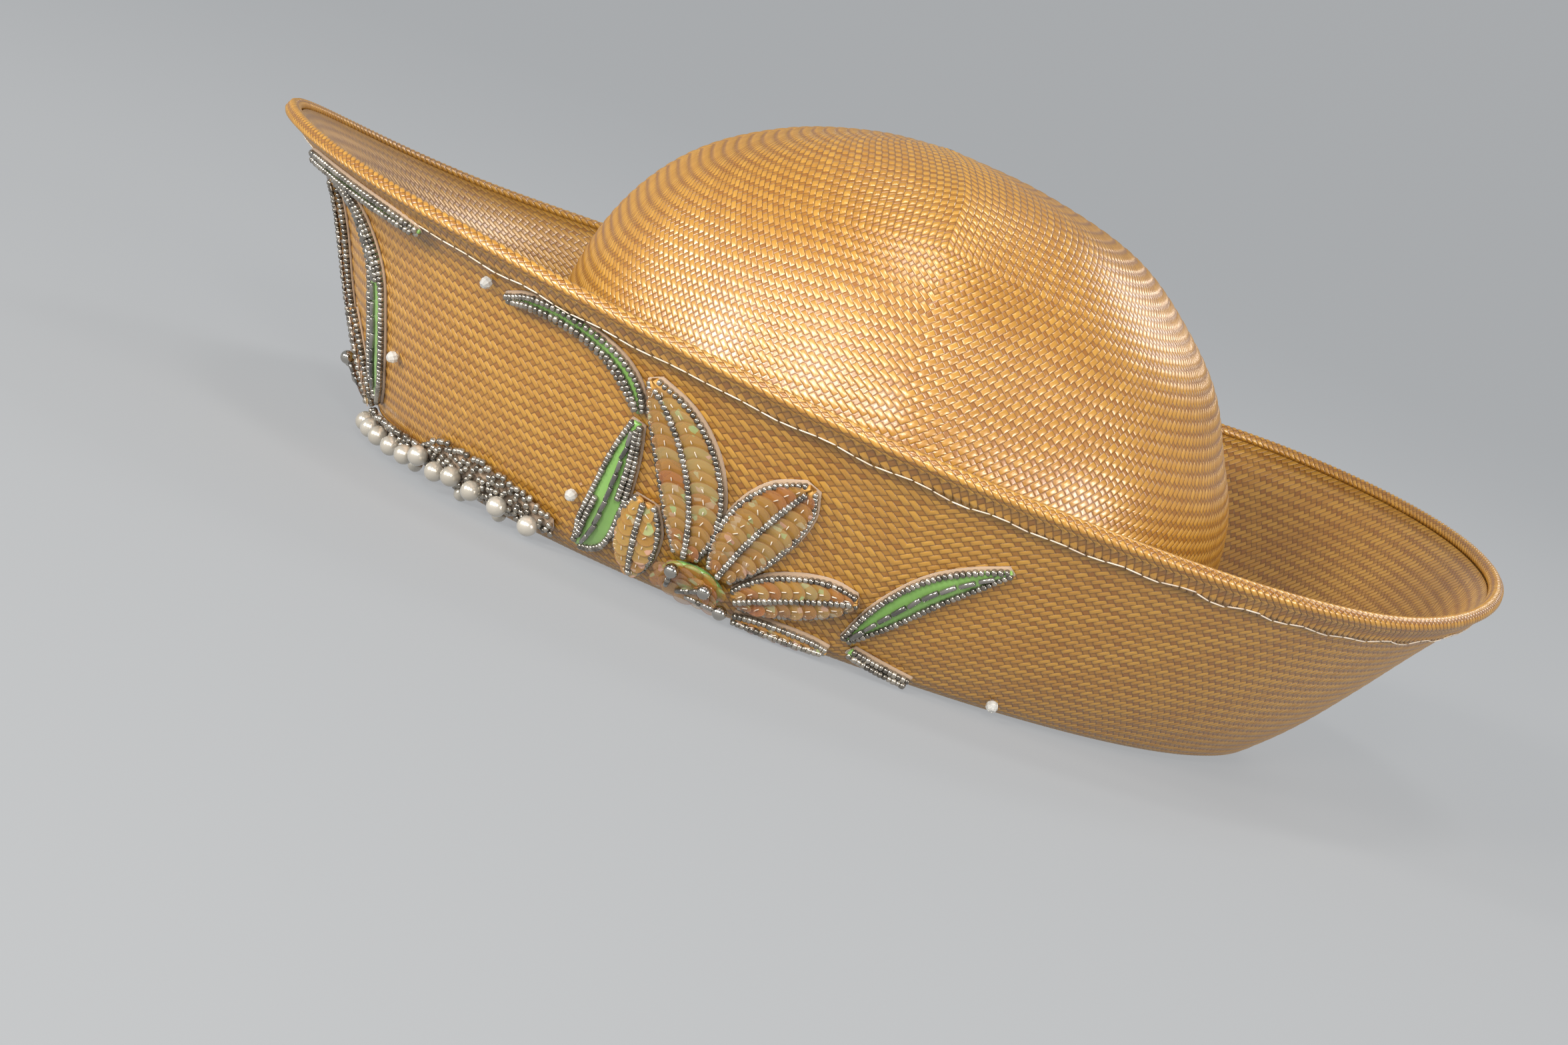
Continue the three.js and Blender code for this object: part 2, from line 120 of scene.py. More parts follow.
def spline(points, share, closed=False, hold_ends=False, centripetal=False):
    """Points of a smooth curve through a table of points, at shares from 0 to 1 of its spans."""
    points = np.asarray(points, float)
    share = np.atleast_1d(share).astype(float)
    if closed:
        place = (share % 1) * len(points)
        first = np.floor(place).astype(int)
        near = points[(first[:, None] + np.arange(-1, 3)) % len(points)]
    else:
        before = points[0] if hold_ends else 2 * points[0] - points[1]
        after = points[-1] if hold_ends else 2 * points[-1] - points[-2]
        padded = np.vstack([before, points, after])
        place = np.clip(share, 0, 1) * (len(points) - 1)
        first = np.minimum(np.floor(place).astype(int), len(points) - 2)
        near = padded[first[:, None] + np.arange(4)]
    weight = (place - first)[:, None]
    p0, p1, p2, p3 = near[:, 0], near[:, 1], near[:, 2], near[:, 3]
    if centripetal:
        pairs = ((p0, p1), (p1, p2), (p2, p3))
        gap = [np.sqrt(np.linalg.norm(b - a, axis=1))[:, None] for a, b in pairs]
        leave = ((p1 - p0) / gap[0] - (p2 - p0) / (gap[0] + gap[1]) + (p2 - p1) / gap[1]) * gap[1]
        arrive = ((p2 - p1) / gap[1] - (p3 - p1) / (gap[1] + gap[2]) + (p3 - p2) / gap[2]) * gap[1]
    else:
        leave = (p2 - p0) / 2
        arrive = (p3 - p1) / 2
    square, cube = weight**2, weight**3
    return (
        (2 * cube - 3 * square + 1) * p1
        + (cube - 2 * square + weight) * leave
        + (3 * square - 2 * cube) * p2
        + (cube - square) * arrive
    )


def running_length(points):
    """Distance along a line of points, from its first point."""
    steps = np.linalg.norm(np.diff(points, axis=-2), axis=-1)
    start = np.zeros((*steps.shape[:-1], 1))
    return np.concatenate([start, np.cumsum(steps, axis=-1)], axis=-1)


def oval_points(oval, turn):
    """Plan points of an oval. The turn runs from the front by the wearer's left."""
    forward, sideways = np.cos(turn), np.sin(turn)
    reach = np.where(forward > 0, oval["front"] + oval["widest"], oval["back"] - oval["widest"])
    point = np.where(forward > 0, oval["front_point"], oval["back_point"])
    x = oval["half"] * np.sign(sideways) * np.abs(sideways) ** point
    return np.stack([x, oval["widest"] - reach * forward], axis=-1)


rim_round = running_length(oval_points(RIM, np.linspace(0, 2 * np.pi, 361)))[-1]
print(f"the rim is about {rim_round:.0f} mm round in plan")


# %% Surfaces
def brim_surface(turn, climb):
    """Points on the outside of the brim. The climb is 0 at the sole and 1 at the rim."""
    turn, climb = np.broadcast_arrays(np.asarray(turn, float), np.asarray(climb, float))
    flat_turn, flat_climb = turn.ravel(), climb.ravel()
    section = spline(BRIM_PROFILE, flat_climb, hold_ends=True)
    frontness = ((1 + np.cos(flat_turn)) / 2) ** 2
    reach = (section[:, 1] * (1 - frontness) + section[:, 2] * frontness)[:, None]
    plan = oval_points(SOLE_EDGE, flat_turn) * (1 - reach) + oval_points(RIM, flat_turn) * reach
    heights = np.array(RIM_HEIGHTS, float)[:, None]
    rim_height = spline(heights, flat_turn / (2 * np.pi), closed=True)[:, 0]
    points = np.column_stack([plan, section[:, 0] * rim_height])
    return points.reshape(*turn.shape, 3)


# Soft waves that handling has pressed into the crown: waves round it, half waves up it, start, depth
CROWN_WAVES = [(4, 1.3, 0.9, 1.1), (7, 0.9, 2.4, 0.9), (6, 2.2, 4.4, 0.5), (11, 1.4, 1.0, 0.35)]
CROWN_TOP_FADE = 4  # the waves die out over the last quarter of the climb


def crown_dents(turn, climb):
    """How far the crown stands out or in, in millimetres. Its seat and its top stay in place."""
    dents = np.zeros_like(climb)
    for round_waves, up_waves, start, depth in CROWN_WAVES:
        dents += depth * np.cos(round_waves * turn + start) * np.sin(np.pi * up_waves * climb)
    return dents * np.clip((1 - climb) * CROWN_TOP_FADE, 0, 1)


def crown_surface(turn, climb):
    """Points on the outside of the crown. The climb is 0 at its seat and 1 at its top."""
    turn, climb = np.broadcast_arrays(np.asarray(turn, float), np.asarray(climb, float))
    section = spline(CROWN_SECTIONS[:, [1, 2, 0]], climb.ravel(), centripetal=True)
    half_length = (section[:, 0] + section[:, 1]) / 2 + crown_dents(turn.ravel(), climb.ravel())
    middle = (section[:, 1] - section[:, 0]) / 2
    x = CROWN_WIDTH_SHARE * half_length * np.sin(turn.ravel())
    y = middle - half_length * np.cos(turn.ravel())
    return np.column_stack([x, y, section[:, 2]]).reshape(*turn.shape, 3)


def outward_normals(surface, turn, climb):
    """Unit normals of a surface, pointing away from the hat."""
    around = surface(turn + SLOPE_STEP, climb) - surface(turn - SLOPE_STEP, climb)
    above = np.minimum(climb + SLOPE_STEP, 1)
    below = np.maximum(climb - SLOPE_STEP, 0)
    upward = surface(turn, above) - surface(turn, below)
    normals = np.cross(around, upward)
    return normals / np.linalg.norm(normals, axis=-1, keepdims=True)


print("height of the crown in mm", np.round(crown_surface(0.0, 1.0)[2], 1))
print("left of the rim in mm", np.round(brim_surface(np.pi / 2, 1.0), 1))

# %% [markdown]
# ## Meshes
#
# Every dressed piece is one mesh made from arrays of points and faces. A helper makes the object,
# gives it a material, hides the solids it stands for, lets it ride on the hat and prints its size.


# %% Making pieces
def make_piece(name, points, faces, material, replaces=(), face_uv=None, smooth=True):
    """A piece of the hat from points in millimetres and faces, each a list of point numbers."""
    mesh = bpy.data.meshes.new(name)
    mesh.from_pydata((np.asarray(points) * MM).tolist(), [], [list(map(int, face)) for face in faces])
    if face_uv is not None:
        layer = mesh.uv_layers.new(name="weave")
        layer.data.foreach_set("uv", np.asarray(face_uv, np.float32).ravel())
    mesh.materials.append(material)
    mesh.polygons.foreach_set("use_smooth", np.full(len(mesh.polygons), smooth))
    mesh.update()
    piece = bpy.data.objects.new(name, mesh)
    bpy.context.scene.collection.objects.link(piece)
    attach(piece, "root")
    if replaces:
        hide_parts(*replaces)
    triangles = sum(len(polygon.vertices) - 2 for polygon in mesh.polygons)
    print(f"{name}: {len(mesh.vertices)} points, {triangles} triangles")
    return piece


# %% [markdown]
# ## Straw
#
# The cloth is a two-over-one twill: one set of strands floats over two crossing strands and dives
# under the next, and each neighbour does the same one step on, so the floats line up in ribs that
# run level round the hat. The real strands are about 1.6 mm wide. Their relief is modelled, with a
# point at each crossing and each gap, and the shader adds what is finer: the round of each strand,
# the fibres in it and its own shade. Its colour also carries painted shade in the gaps and a painted
# highlight on the floats. The weave coordinates come with the mesh, so that shader and relief fall
# on the same strands.


# %% Shader helpers
def new_group(name, inputs, outputs):
    """A shader node group with the given sockets, and its input and output nodes."""
    group = bpy.data.node_groups.new(name, "ShaderNodeTree")
    for socket_name, kind, value in inputs:
        socket = group.interface.new_socket(socket_name, in_out="INPUT", socket_type=kind)
        if value is not None:
            socket.default_value = value
    for socket_name, kind in outputs:
        group.interface.new_socket(socket_name, in_out="OUTPUT", socket_type=kind)
    return group, group.nodes.new("NodeGroupInput"), group.nodes.new("NodeGroupOutput")


def plug(tree, value, socket):
    """Links a socket, or sets a plain value."""
    if isinstance(value, bpy.types.NodeSocket):
        tree.links.new(value, socket)
    else:
        socket.default_value = value


def math_node(tree, operation, *values):
    """Output of a math node."""
    node = tree.nodes.new("ShaderNodeMath")
    node.operation = operation
    for value, socket in zip(values, node.inputs):
        plug(tree, value, socket)
    return node.outputs[0]


def blend_values(tree, share, low, high):
    """low where the share is 0 and high where it is 1."""
    node = tree.nodes.new("ShaderNodeMix")
    plug(tree, share, node.inputs["Factor"])
    plug(tree, low, node.inputs["A"])
    plug(tree, high, node.inputs["B"])
    return node.outputs["Result"]


def blend_colours(tree, share, low, high):
    """The same for two colours."""
    node = tree.nodes.new("ShaderNodeMix")
    node.data_type = "RGBA"
    plug(tree, share, node.inputs[0])
    plug(tree, low, node.inputs[6])
    plug(tree, high, node.inputs[7])
    return node.outputs[2]


def new_material(name, colour, roughness, **settings):
    """A material with its shader's constant values set, and its tree and shader."""
    material = bpy.data.materials.new(name)
    material.use_nodes = True
    shader = material.node_tree.nodes["Principled BSDF"]
    shader.inputs["Base Color"].default_value = (*colour, 1)
    shader.inputs["Roughness"].default_value = roughness
    for socket_name, value in settings.items():
        shader.inputs[socket_name.replace("_", " ")].default_value = value
    return material, material.node_tree, shader


# %% Twill as a node group
TWILL_REPEAT = 3  # each strand goes over two others and under one
STRAND_FLATNESS = 3.4  # high for a flat strand with round edges
STRAND_SHOULDER = 0.7
FLOAT_FLATNESS = 3.6  # high for a float that bends only near its ends
FLOAT_END = 0.35  # height of a float's ends, as a share of its middle
UNDER_LEVEL = 0.6  # height of the strands that lie under
SET_OFFSET = 511.5  # keeps the shades of the two sets of strands apart
STREAKS_ACROSS, STREAKS_ALONG, STREAKS_BETWEEN = 5.0, 0.35, 1.7


def make_twill_group():
    """Height of the strands, which set is on top, and streaks along them, from weave coordinates."""
    group, inside, outside = new_group(
        "Twill weave",
        [("Weave", "NodeSocketVector", None)],
        [
            ("Height", "NodeSocketFloat"),
            ("Floating", "NodeSocketFloat"),
            ("Shade", "NodeSocketFloat"),
            ("Fibre", "NodeSocketFloat"),
        ],
    )
    parts = group.nodes.new("ShaderNodeSeparateXYZ")
    group.links.new(inside.outputs["Weave"], parts.inputs[0])
    u, v = parts.outputs[0], parts.outputs[1]
    along_a = math_node(group, "MULTIPLY", math_node(group, "ADD", u, v), 0.5)
    along_b = math_node(group, "MULTIPLY", math_node(group, "SUBTRACT", u, v), 0.5)
    cell_a = math_node(group, "FLOOR", along_a)
    cell_b = math_node(group, "FLOOR", along_b)
    part_a = math_node(group, "FRACT", along_a)
    part_b = math_node(group, "FRACT", along_b)
    rib = math_node(group, "FLOORED_MODULO", math_node(group, "SUBTRACT", cell_a, cell_b), TWILL_REPEAT)
    floating = math_node(group, "GREATER_THAN", rib, 0.5)

    across = blend_values(group, floating, part_b, part_a)
    half_float = math_node(group, "MULTIPLY", math_node(group, "SUBTRACT", 2.0, rib), 0.5)
    float_place = math_node(group, "MULTIPLY_ADD", part_b, 0.5, half_float)
    lengthwise = blend_values(group, floating, part_a, float_place)

    def hump(value, power):
        """1 in the middle of a strand or float and 0 at its ends."""
        centred = math_node(group, "ABSOLUTE", math_node(group, "MULTIPLY_ADD", value, 2.0, -1.0))
        return math_node(group, "SUBTRACT", 1.0, math_node(group, "POWER", centred, power))

    rounded = math_node(group, "POWER", hump(across, STRAND_FLATNESS), STRAND_SHOULDER)
    bend = hump(lengthwise, FLOAT_FLATNESS)
    arched = math_node(group, "MULTIPLY_ADD", bend, 1 - FLOAT_END, FLOAT_END)
    level = blend_values(group, floating, UNDER_LEVEL, 1.0)
    height = math_node(group, "MULTIPLY", math_node(group, "MULTIPLY", rounded, arched), level)

    strand = blend_values(group, floating, math_node(group, "ADD", cell_b, SET_OFFSET), cell_a)
    shade = group.nodes.new("ShaderNodeTexWhiteNoise")
    shade.noise_dimensions = "1D"
    group.links.new(strand, shade.inputs["W"])
    run = blend_values(group, floating, along_a, along_b)
    place = group.nodes.new("ShaderNodeCombineXYZ")
    plug(group, math_node(group, "MULTIPLY", across, STREAKS_ACROSS), place.inputs[0])
    plug(group, math_node(group, "MULTIPLY", run, STREAKS_ALONG), place.inputs[1])
    plug(group, math_node(group, "MULTIPLY", strand, STREAKS_BETWEEN), place.inputs[2])
    streaks = group.nodes.new("ShaderNodeTexNoise")
    streaks.inputs["Scale"].default_value = 1.0
    streaks.inputs["Detail"].default_value = 2.0
    group.links.new(place.outputs[0], streaks.inputs["Vector"])

    group.links.new(height, outside.inputs["Height"])
    group.links.new(floating, outside.inputs["Floating"])
    group.links.new(shade.outputs["Value"], outside.inputs["Shade"])
    group.links.new(streaks.outputs["Fac"], outside.inputs["Fibre"])
    return group


twill_group = make_twill_group()
print("the twill group has", len(twill_group.nodes), "nodes")

# %% Straw material
# The first colour is painted shade, laid into the gaps where the strands dip
STRAW_GAP_SHADE = (0.125, 0.044, 0.004, 1)
STRAW_MID = (0.275, 0.105, 0.008, 1)
STRAW_LIGHT = (0.47, 0.24, 0.03, 1)
STRAW_SHINE = 1.0
STRAW_METALLIC = 0.12
STRAW_ROUGHNESS, FIBRE_ROUGHNESS = 0.22, 0.2
STRAW_COAT = 0.2
STRAW_COAT_ROUGHNESS = 0.28
# Weight and offset of each thing that makes a strand lighter or darker
# The floats' share is painted: a painted highlight on the floats, painted shade on strands under them
TONE_PARTS = {"Shade": (0.42, 0.1), "Fibre": (0.4, 0.0), "Floating": (0.5, -0.32)}
BLOTCH_TONE = (0.5, -0.25)
GAP_SHADE_NARROWNESS = 1.55  # high for dark gaps that are narrow
FIBRE_RIDGES = 0.2  # height of the fibres, as a share of the strand
WEAVE_BUMP = 0.22  # height of the bump in millimetres


def make_straw(name, bump_height):
    """Woven straw: strands of several shades, painted shade in the gaps, a painted highlight on floats."""
    settings = dict(Specular_IOR_Level=STRAW_SHINE, Metallic=STRAW_METALLIC)
    settings.update(Coat_Weight=STRAW_COAT, Coat_Roughness=STRAW_COAT_ROUGHNESS)
    material, tree, shader = new_material(name, STRAW_MID[:3], STRAW_ROUGHNESS, **settings)
    weave = tree.nodes.new("ShaderNodeUVMap")
    weave.uv_map = "weave"
    twill = tree.nodes.new("ShaderNodeGroup")
    twill.node_tree = twill_group
    tree.links.new(weave.outputs["UV"], twill.inputs["Weave"])

    blotches = tree.nodes.new("ShaderNodeTexNoise")
    blotches.inputs["Scale"].default_value = 14.0
    blotches.inputs["Detail"].default_value = 3.0
    where = tree.nodes.new("ShaderNodeTexCoord")
    tree.links.new(where.outputs["Object"], blotches.inputs["Vector"])

    tone = math_node(tree, "MULTIPLY_ADD", blotches.outputs["Fac"], *BLOTCH_TONE)
    # The tone takes in random blotches, shades and fibres, and the painted highlight and shade of floats
    for output, (weight, offset) in TONE_PARTS.items():
        part = math_node(tree, "MULTIPLY_ADD", twill.outputs[output], weight, offset)
        tone = math_node(tree, "ADD", tone, part)
    tone = math_node(tree, "MINIMUM", math_node(tree, "MAXIMUM", tone, 0.0), 1.0)
    strand_colour = blend_colours(tree, tone, STRAW_MID, STRAW_LIGHT)
    # Painted shade: the lower a strand lies, the more its colour turns to the gap shade
    depth = math_node(tree, "MULTIPLY", twill.outputs["Height"], GAP_SHADE_NARROWNESS)
    depth = math_node(tree, "MINIMUM", depth, 1.0)
    colour = blend_colours(tree, depth, STRAW_GAP_SHADE, strand_colour)
    tree.links.new(colour, shader.inputs["Base Color"])
    gloss = math_node(tree, "MULTIPLY_ADD", twill.outputs["Fibre"], FIBRE_ROUGHNESS, STRAW_ROUGHNESS)
    tree.links.new(gloss, shader.inputs["Roughness"])

    bump = tree.nodes.new("ShaderNodeBump")
    bump.inputs["Strength"].default_value = 1.0
    bump.inputs["Distance"].default_value = bump_height * MM
    ridges = math_node(tree, "MULTIPLY_ADD", twill.outputs["Fibre"], FIBRE_RIDGES, twill.outputs["Height"])
    tree.links.new(ridges, bump.inputs["Height"])
    tree.links.new(bump.outputs["Normal"], shader.inputs["Normal"])
    return material


straw = make_straw("straw", WEAVE_BUMP)
print("straw material with", len(straw.node_tree.nodes), "nodes")

# %% [markdown]
# ## Weaving the meshes
#
# A lattice of points covers each wall, one step apart round the hat and one step up. Points whose
# column and row add up to an even number lie in the gaps between strands, and the others lie on
# the strands. Each small square of the lattice is split along a float where it has one, so that
# the floats stand up as ridges. The ribs change direction from one quarter of the hat to the next.

# %% Lattice of a twill
STRAND = 1.64  # width of a strand
STEP = STRAND / np.sqrt(2)  # side of the lattice
GAP_LEVEL = -0.08
FLOAT_LEVEL = 0.15
CROSSING_LEVEL = 0.0


def twill_level(column, row):
    """Height of a lattice point above the wall's mean surface."""
    on_strand = (column + row) % 2 == 1
    crossing = row % TWILL_REPEAT == 0
    return np.where(on_strand, np.where(crossing, CROSSING_LEVEL, FLOAT_LEVEL), GAP_LEVEL)


def twill_faces(corners, column, row, lean):
    """Triangles and weave coordinates for lattice squares given by four corner numbers, from the
    lower left round. The lean is 1 where the floats run down to the right and -1 where they run up."""
    even = (column + row) % 2 == 0
    float_row = row % TWILL_REPEAT == 1
    falling = np.where(even, (lean > 0) & float_row, ~((lean < 0) & float_row))
    order = np.where(falling[:, None], [0, 1, 3, 1, 2, 3], [0, 1, 2, 0, 2, 3])
    triangles = np.take_along_axis(corners, order, axis=1).reshape(-1, 3)
    corner_u = lean[:, None] * np.stack([column, column + 1, column + 1, column], axis=1)
    corner_v = np.stack([row, row, row + 1, row + 1], axis=1)
    u = np.take_along_axis(corner_u, order, axis=1).reshape(-1, 3)
    v = np.take_along_axis(corner_v, order, axis=1).reshape(-1, 3)
    return triangles, np.stack([u, v], axis=-1)


def climbs_by_length(surface, turn, rows, samples=160):
    """Climbs that step evenly up a wall at each turn, and the mean length of the wall."""
    climb = np.linspace(0, 1, samples)
    points = surface(turn[:, None], climb[None, :])
    lengths = running_length(points)
    even = np.array([np.interp(np.linspace(0, row[-1], rows + 1), row, climb) for row in lengths])
    return even, lengths[:, -1].mean()


def ring_bands(first, second, count):
    """Squares between two rings of points that start at the given numbers."""
    step = np.arange(count)
    after = (step + 1) % count
    return np.stack([first + step, first + after, second + after, second + step], axis=1)


print(f"the lattice steps should be about {STEP:.2f} mm")

# %% Brim
BRIM_COLUMNS = 768
BRIM_ROWS = 80
BRIM_INNER_ROWS = 14
SOLE_WEAVE_ROWS = [-14, -28]  # where the weave stands at the head opening, above and below


def weave_brim():
    """The brim: woven relief outside, a plain inside, and the flat sole under the head opening."""
    turn = np.arange(BRIM_COLUMNS) / BRIM_COLUMNS * 2 * np.pi
    outer_climb, length = climbs_by_length(brim_surface, turn, BRIM_ROWS)
    column, row = np.meshgrid(np.arange(BRIM_COLUMNS), np.arange(BRIM_ROWS + 1))
    outer_turn = np.broadcast_to(turn, column.shape)
    points = brim_surface(outer_turn, outer_climb.T)
    normals = outward_normals(brim_surface, outer_turn, outer_climb.T)
    fade = np.clip(np.minimum(row / 2, (BRIM_ROWS - row) / 2), 0, 1)
    points = points + normals * (twill_level(column, row) * fade)[..., None]

    inner_climb, _ = climbs_by_length(brim_surface, turn, BRIM_INNER_ROWS)
    inner_turn = np.broadcast_to(turn, (BRIM_INNER_ROWS + 1, BRIM_COLUMNS))
    inner = brim_surface(inner_turn, inner_climb.T)
    inner = inner - outward_normals(brim_surface, inner_turn, inner_climb.T) * STRAW_WALL

    opening = oval_points(HEAD_OPENING, turn)
    under = np.column_stack([opening, np.zeros(BRIM_COLUMNS)])
    over = np.column_stack([opening, np.full(BRIM_COLUMNS, STRAW_WALL)])
    all_points = np.concatenate([points.reshape(-1, 3), inner[::-1].reshape(-1, 3), over, under])

    rings = np.arange(0, len(all_points), BRIM_COLUMNS)
    quarter = (np.arange(BRIM_COLUMNS) * 4) // BRIM_COLUMNS
    lean = np.where(quarter % 2 == 0, 1, -1)
    ring_row = list(range(BRIM_ROWS + 1))
    ring_row += [round(BRIM_ROWS * (1 - k / BRIM_INNER_ROWS)) for k in range(BRIM_INNER_ROWS + 1)]
    ring_row += SOLE_WEAVE_ROWS
    faces, weave = [], []
    for index in range(len(rings)):
        after = (index + 1) % len(rings)
        squares = ring_bands(rings[index], rings[after], BRIM_COLUMNS)
        rows = np.full(BRIM_COLUMNS, ring_row[index])
        triangles, uv = twill_faces(squares, np.arange(BRIM_COLUMNS), rows, lean)
        if index >= BRIM_ROWS:
            span = ring_row[after] - ring_row[index]
            uv[..., 1] = ring_row[index] + (uv[..., 1] - ring_row[index]) * (span if span else 1)
        faces.append(triangles)
        weave.append(uv)
    print(f"brim wall about {length:.0f} mm up, step {length / BRIM_ROWS:.2f} mm")
    return all_points, np.concatenate(faces), np.concatenate(weave)


brim_points, brim_faces, brim_weave = weave_brim()
make_piece("woven_brim", brim_points, brim_faces, straw, ["brim"], brim_weave)

# %% [markdown]
# The crown is woven from the middle of its top, where the cloth starts as a small square and grows
# by a strand on each of four sides with every round. Rings of lattice points do the same: each one
# has eight points more than the last, until the dome turns down. Where two quarters meet, the
# ribs rise to a point, which shows as a faint line down the side of the crown.

# %% Rings of the crown
CROWN_GROWING = 62  # rings that still grow
CROWN_RINGS = 156
SEAM_RISE = 7.0  # how far the ribs rise to the line where two quarters meet
CROWN_SAMPLES = 400


def crown_rings():
    """Points of the crown's outside from its top down, ring by ring, with the number of points in a
    quarter of each ring and the number of its first point."""
    sample = np.linspace(0, 1, CROWN_SAMPLES)
    side = crown_surface(np.full(CROWN_SAMPLES, np.pi / 2), sample)
    tip = np.array([0, side[-1, 1], CROWN_SECTIONS[-1, 0]])
    down = running_length(side[::-1]) + np.linalg.norm(side[-1] - tip)
    points, starts = [tip[None, :]], [0]
    counts = [0] + [2 * min(ring, CROWN_GROWING) for ring in range(1, CROWN_RINGS + 1)]
    for ring in range(1, CROWN_RINGS + 1):
        per_quarter = counts[ring]
        place = np.arange(4 * per_quarter)
        turn = place / per_quarter * np.pi / 2
        column = place % per_quarter - min(ring, CROWN_GROWING)
        share = ring / CROWN_RINGS
        kink = SEAM_RISE * np.clip(share * 3, 0, 1) * np.clip((1 - share) * 4, 0, 1)
        distance = share * down[-1] - kink * (0.5 - np.abs(np.sin(2 * turn)))
        climb = np.interp(distance, down, sample[::-1])
        fade = np.clip((CROWN_RINGS - ring) / 2, 0, 1)
        lift = twill_level(column, CROWN_RINGS - ring) * fade
        normals = outward_normals(crown_surface, turn, climb)
        points.append(crown_surface(turn, climb) + normals * lift[:, None])
        starts.append(starts[-1] + (1 if ring == 1 else 4 * counts[ring - 1]))
    return points, counts, starts


def quarter_point(start, per_quarter, quarter, place):
    """Number of a point of a ring, counted from the start of one of its quarters."""
    return start + (quarter * per_quarter + place) % (4 * per_quarter)


def crown_band(ring, counts, starts):
    """Triangles and weave coordinates between a ring and the next one down."""
    inner, outer = counts[ring], counts[ring + 1]
    shift = 1 if outer > inner else 0
    low = CROWN_RINGS - ring - 1
    step = np.arange(inner)
    column = step - min(ring, CROWN_GROWING)
    left, right = column[0], column[-1] + 1
    faces, weave = [], []
    for quarter in range(4):
        lean = 1 if quarter % 2 == 0 else -1
        near = partial(quarter_point, starts[ring], inner, quarter)
        far = partial(quarter_point, starts[ring + 1], outer, quarter)
        corners = [far(step + shift), far(step + 1 + shift), near(step + 1), near(step)]
        lattice = np.stack(corners, axis=1)
        triangles, uv = twill_faces(lattice, column, np.full(inner, low), np.full(inner, lean))
        faces.append(triangles)
        weave.append(uv)
        if shift:
            ends = [[far(0), far(1), near(0)], [near(inner), far(outer - 1), far(outer)]]
            end_uv = [
                [(left - 1, low), (left, low), (left, low + 1)],
                [(right, low + 1), (right, low), (right + 1, low)],
            ]
            faces.append(np.array(ends))
            weave.append(np.array(end_uv) * [lean, 1])
    return np.concatenate(faces), np.concatenate(weave)


def weave_crown():
    """The crown's outside, with the number of the first point of its lowest ring and its count."""
    points, counts, starts = crown_rings()
    bands = [crown_band(ring, counts, starts) for ring in range(1, CROWN_RINGS)]
    first = np.arange(4 * counts[1])
    tip_faces = np.stack([np.zeros_like(first), 1 + first, 1 + (first + 1) % len(first)], axis=1)
    faces = np.concatenate([*[triangles for triangles, _ in bands], tip_faces])
    weave = np.concatenate([*[uv for _, uv in bands], np.zeros((len(first), 3, 2))])
    return np.concatenate(points), faces, weave, starts[-1], 4 * counts[-1]


print("the crown is woven from", CROWN_RINGS, "rings")

# %% Crown with its inside
CROWN_INNER_ROWS = 24
INNER_WEAVE_ROWS = 6  # rows of weave between two rings of the inside


def crown_with_inside():
    """The woven outside closed by a plain inside and a lower edge."""
    outside, faces, weave, previous, count = weave_crown()
    turn = np.arange(count) / count * 2 * np.pi
    step = np.arange(count)
    points = [outside]
    all_faces, all_weave = [faces], [weave]
    for row, climb in enumerate(np.linspace(0, 1, CROWN_INNER_ROWS + 1)):
        at = np.full(count, climb)
        inward = outward_normals(crown_surface, turn, at) * STRAW_WALL
        points.append(crown_surface(turn, at) - inward)
        ring_start = len(outside) + row * count
        squares = ring_bands(ring_start, previous, count)
        weave_row = row * INNER_WEAVE_ROWS
        triangles, uv = twill_faces(squares, step, np.full(count, weave_row), np.ones(count, int))
        uv[..., 1] = weave_row + (uv[..., 1] - weave_row) * INNER_WEAVE_ROWS
        all_faces.append(triangles)
        all_weave.append(uv)
        previous = ring_start
    height, front, back = CROWN_SECTIONS[-1]
    points.append(np.array([[0, (back - front) / 2, height - STRAW_WALL]]))
    tip = np.full(count, previous + count)
    all_faces.append(np.stack([tip, previous + (step + 1) % count, previous + step], axis=1))
    all_weave.append(np.zeros((count, 3, 2)))
    return np.concatenate(points), np.concatenate(all_faces), np.concatenate(all_weave)


crown_points, crown_faces, crown_weave = crown_with_inside()
make_piece("woven_crown", crown_points, crown_faces, straw, ["crown"], crown_weave)

# %% [markdown]
# ## The pattern of the trim
#
# The trim is laid out on the brim as on a flat pattern: millimetres round the wall from the front
# centre towards the wearer's left, and millimetres up the wall from the edge of the sole. The two
# lilies are one pattern and its mirror image. The front one is drawn a little taller, and two of
# its leaves have lines of their own. Two tables turn pattern places into places on the curved wall.

# %% From the pattern to the brim
MIRROR_LINE = 97.5
FRONT_RAISE = 5.8
FRONT_STRETCH = 1.044
TRIM_LIFT = 0.6  # the back of the trim stands this far off the straw
HEM_RAISE = 1.1  # and this much further where a leaf laps over the hem

TURN_STEPS, CLIMB_STEPS = 720, 160  # sizes of the two tables
pattern_turns = np.linspace(-np.pi, np.pi, TURN_STEPS + 1)
pattern_climbs = np.linspace(0, 1, CLIMB_STEPS + 1)
wall_lengths = running_length(brim_surface(pattern_turns[:, None], pattern_climbs[None, :]))
girth = running_length(brim_surface(pattern_turns, 0.5)[:, :2])
girth = girth - girth[TURN_STEPS // 2]


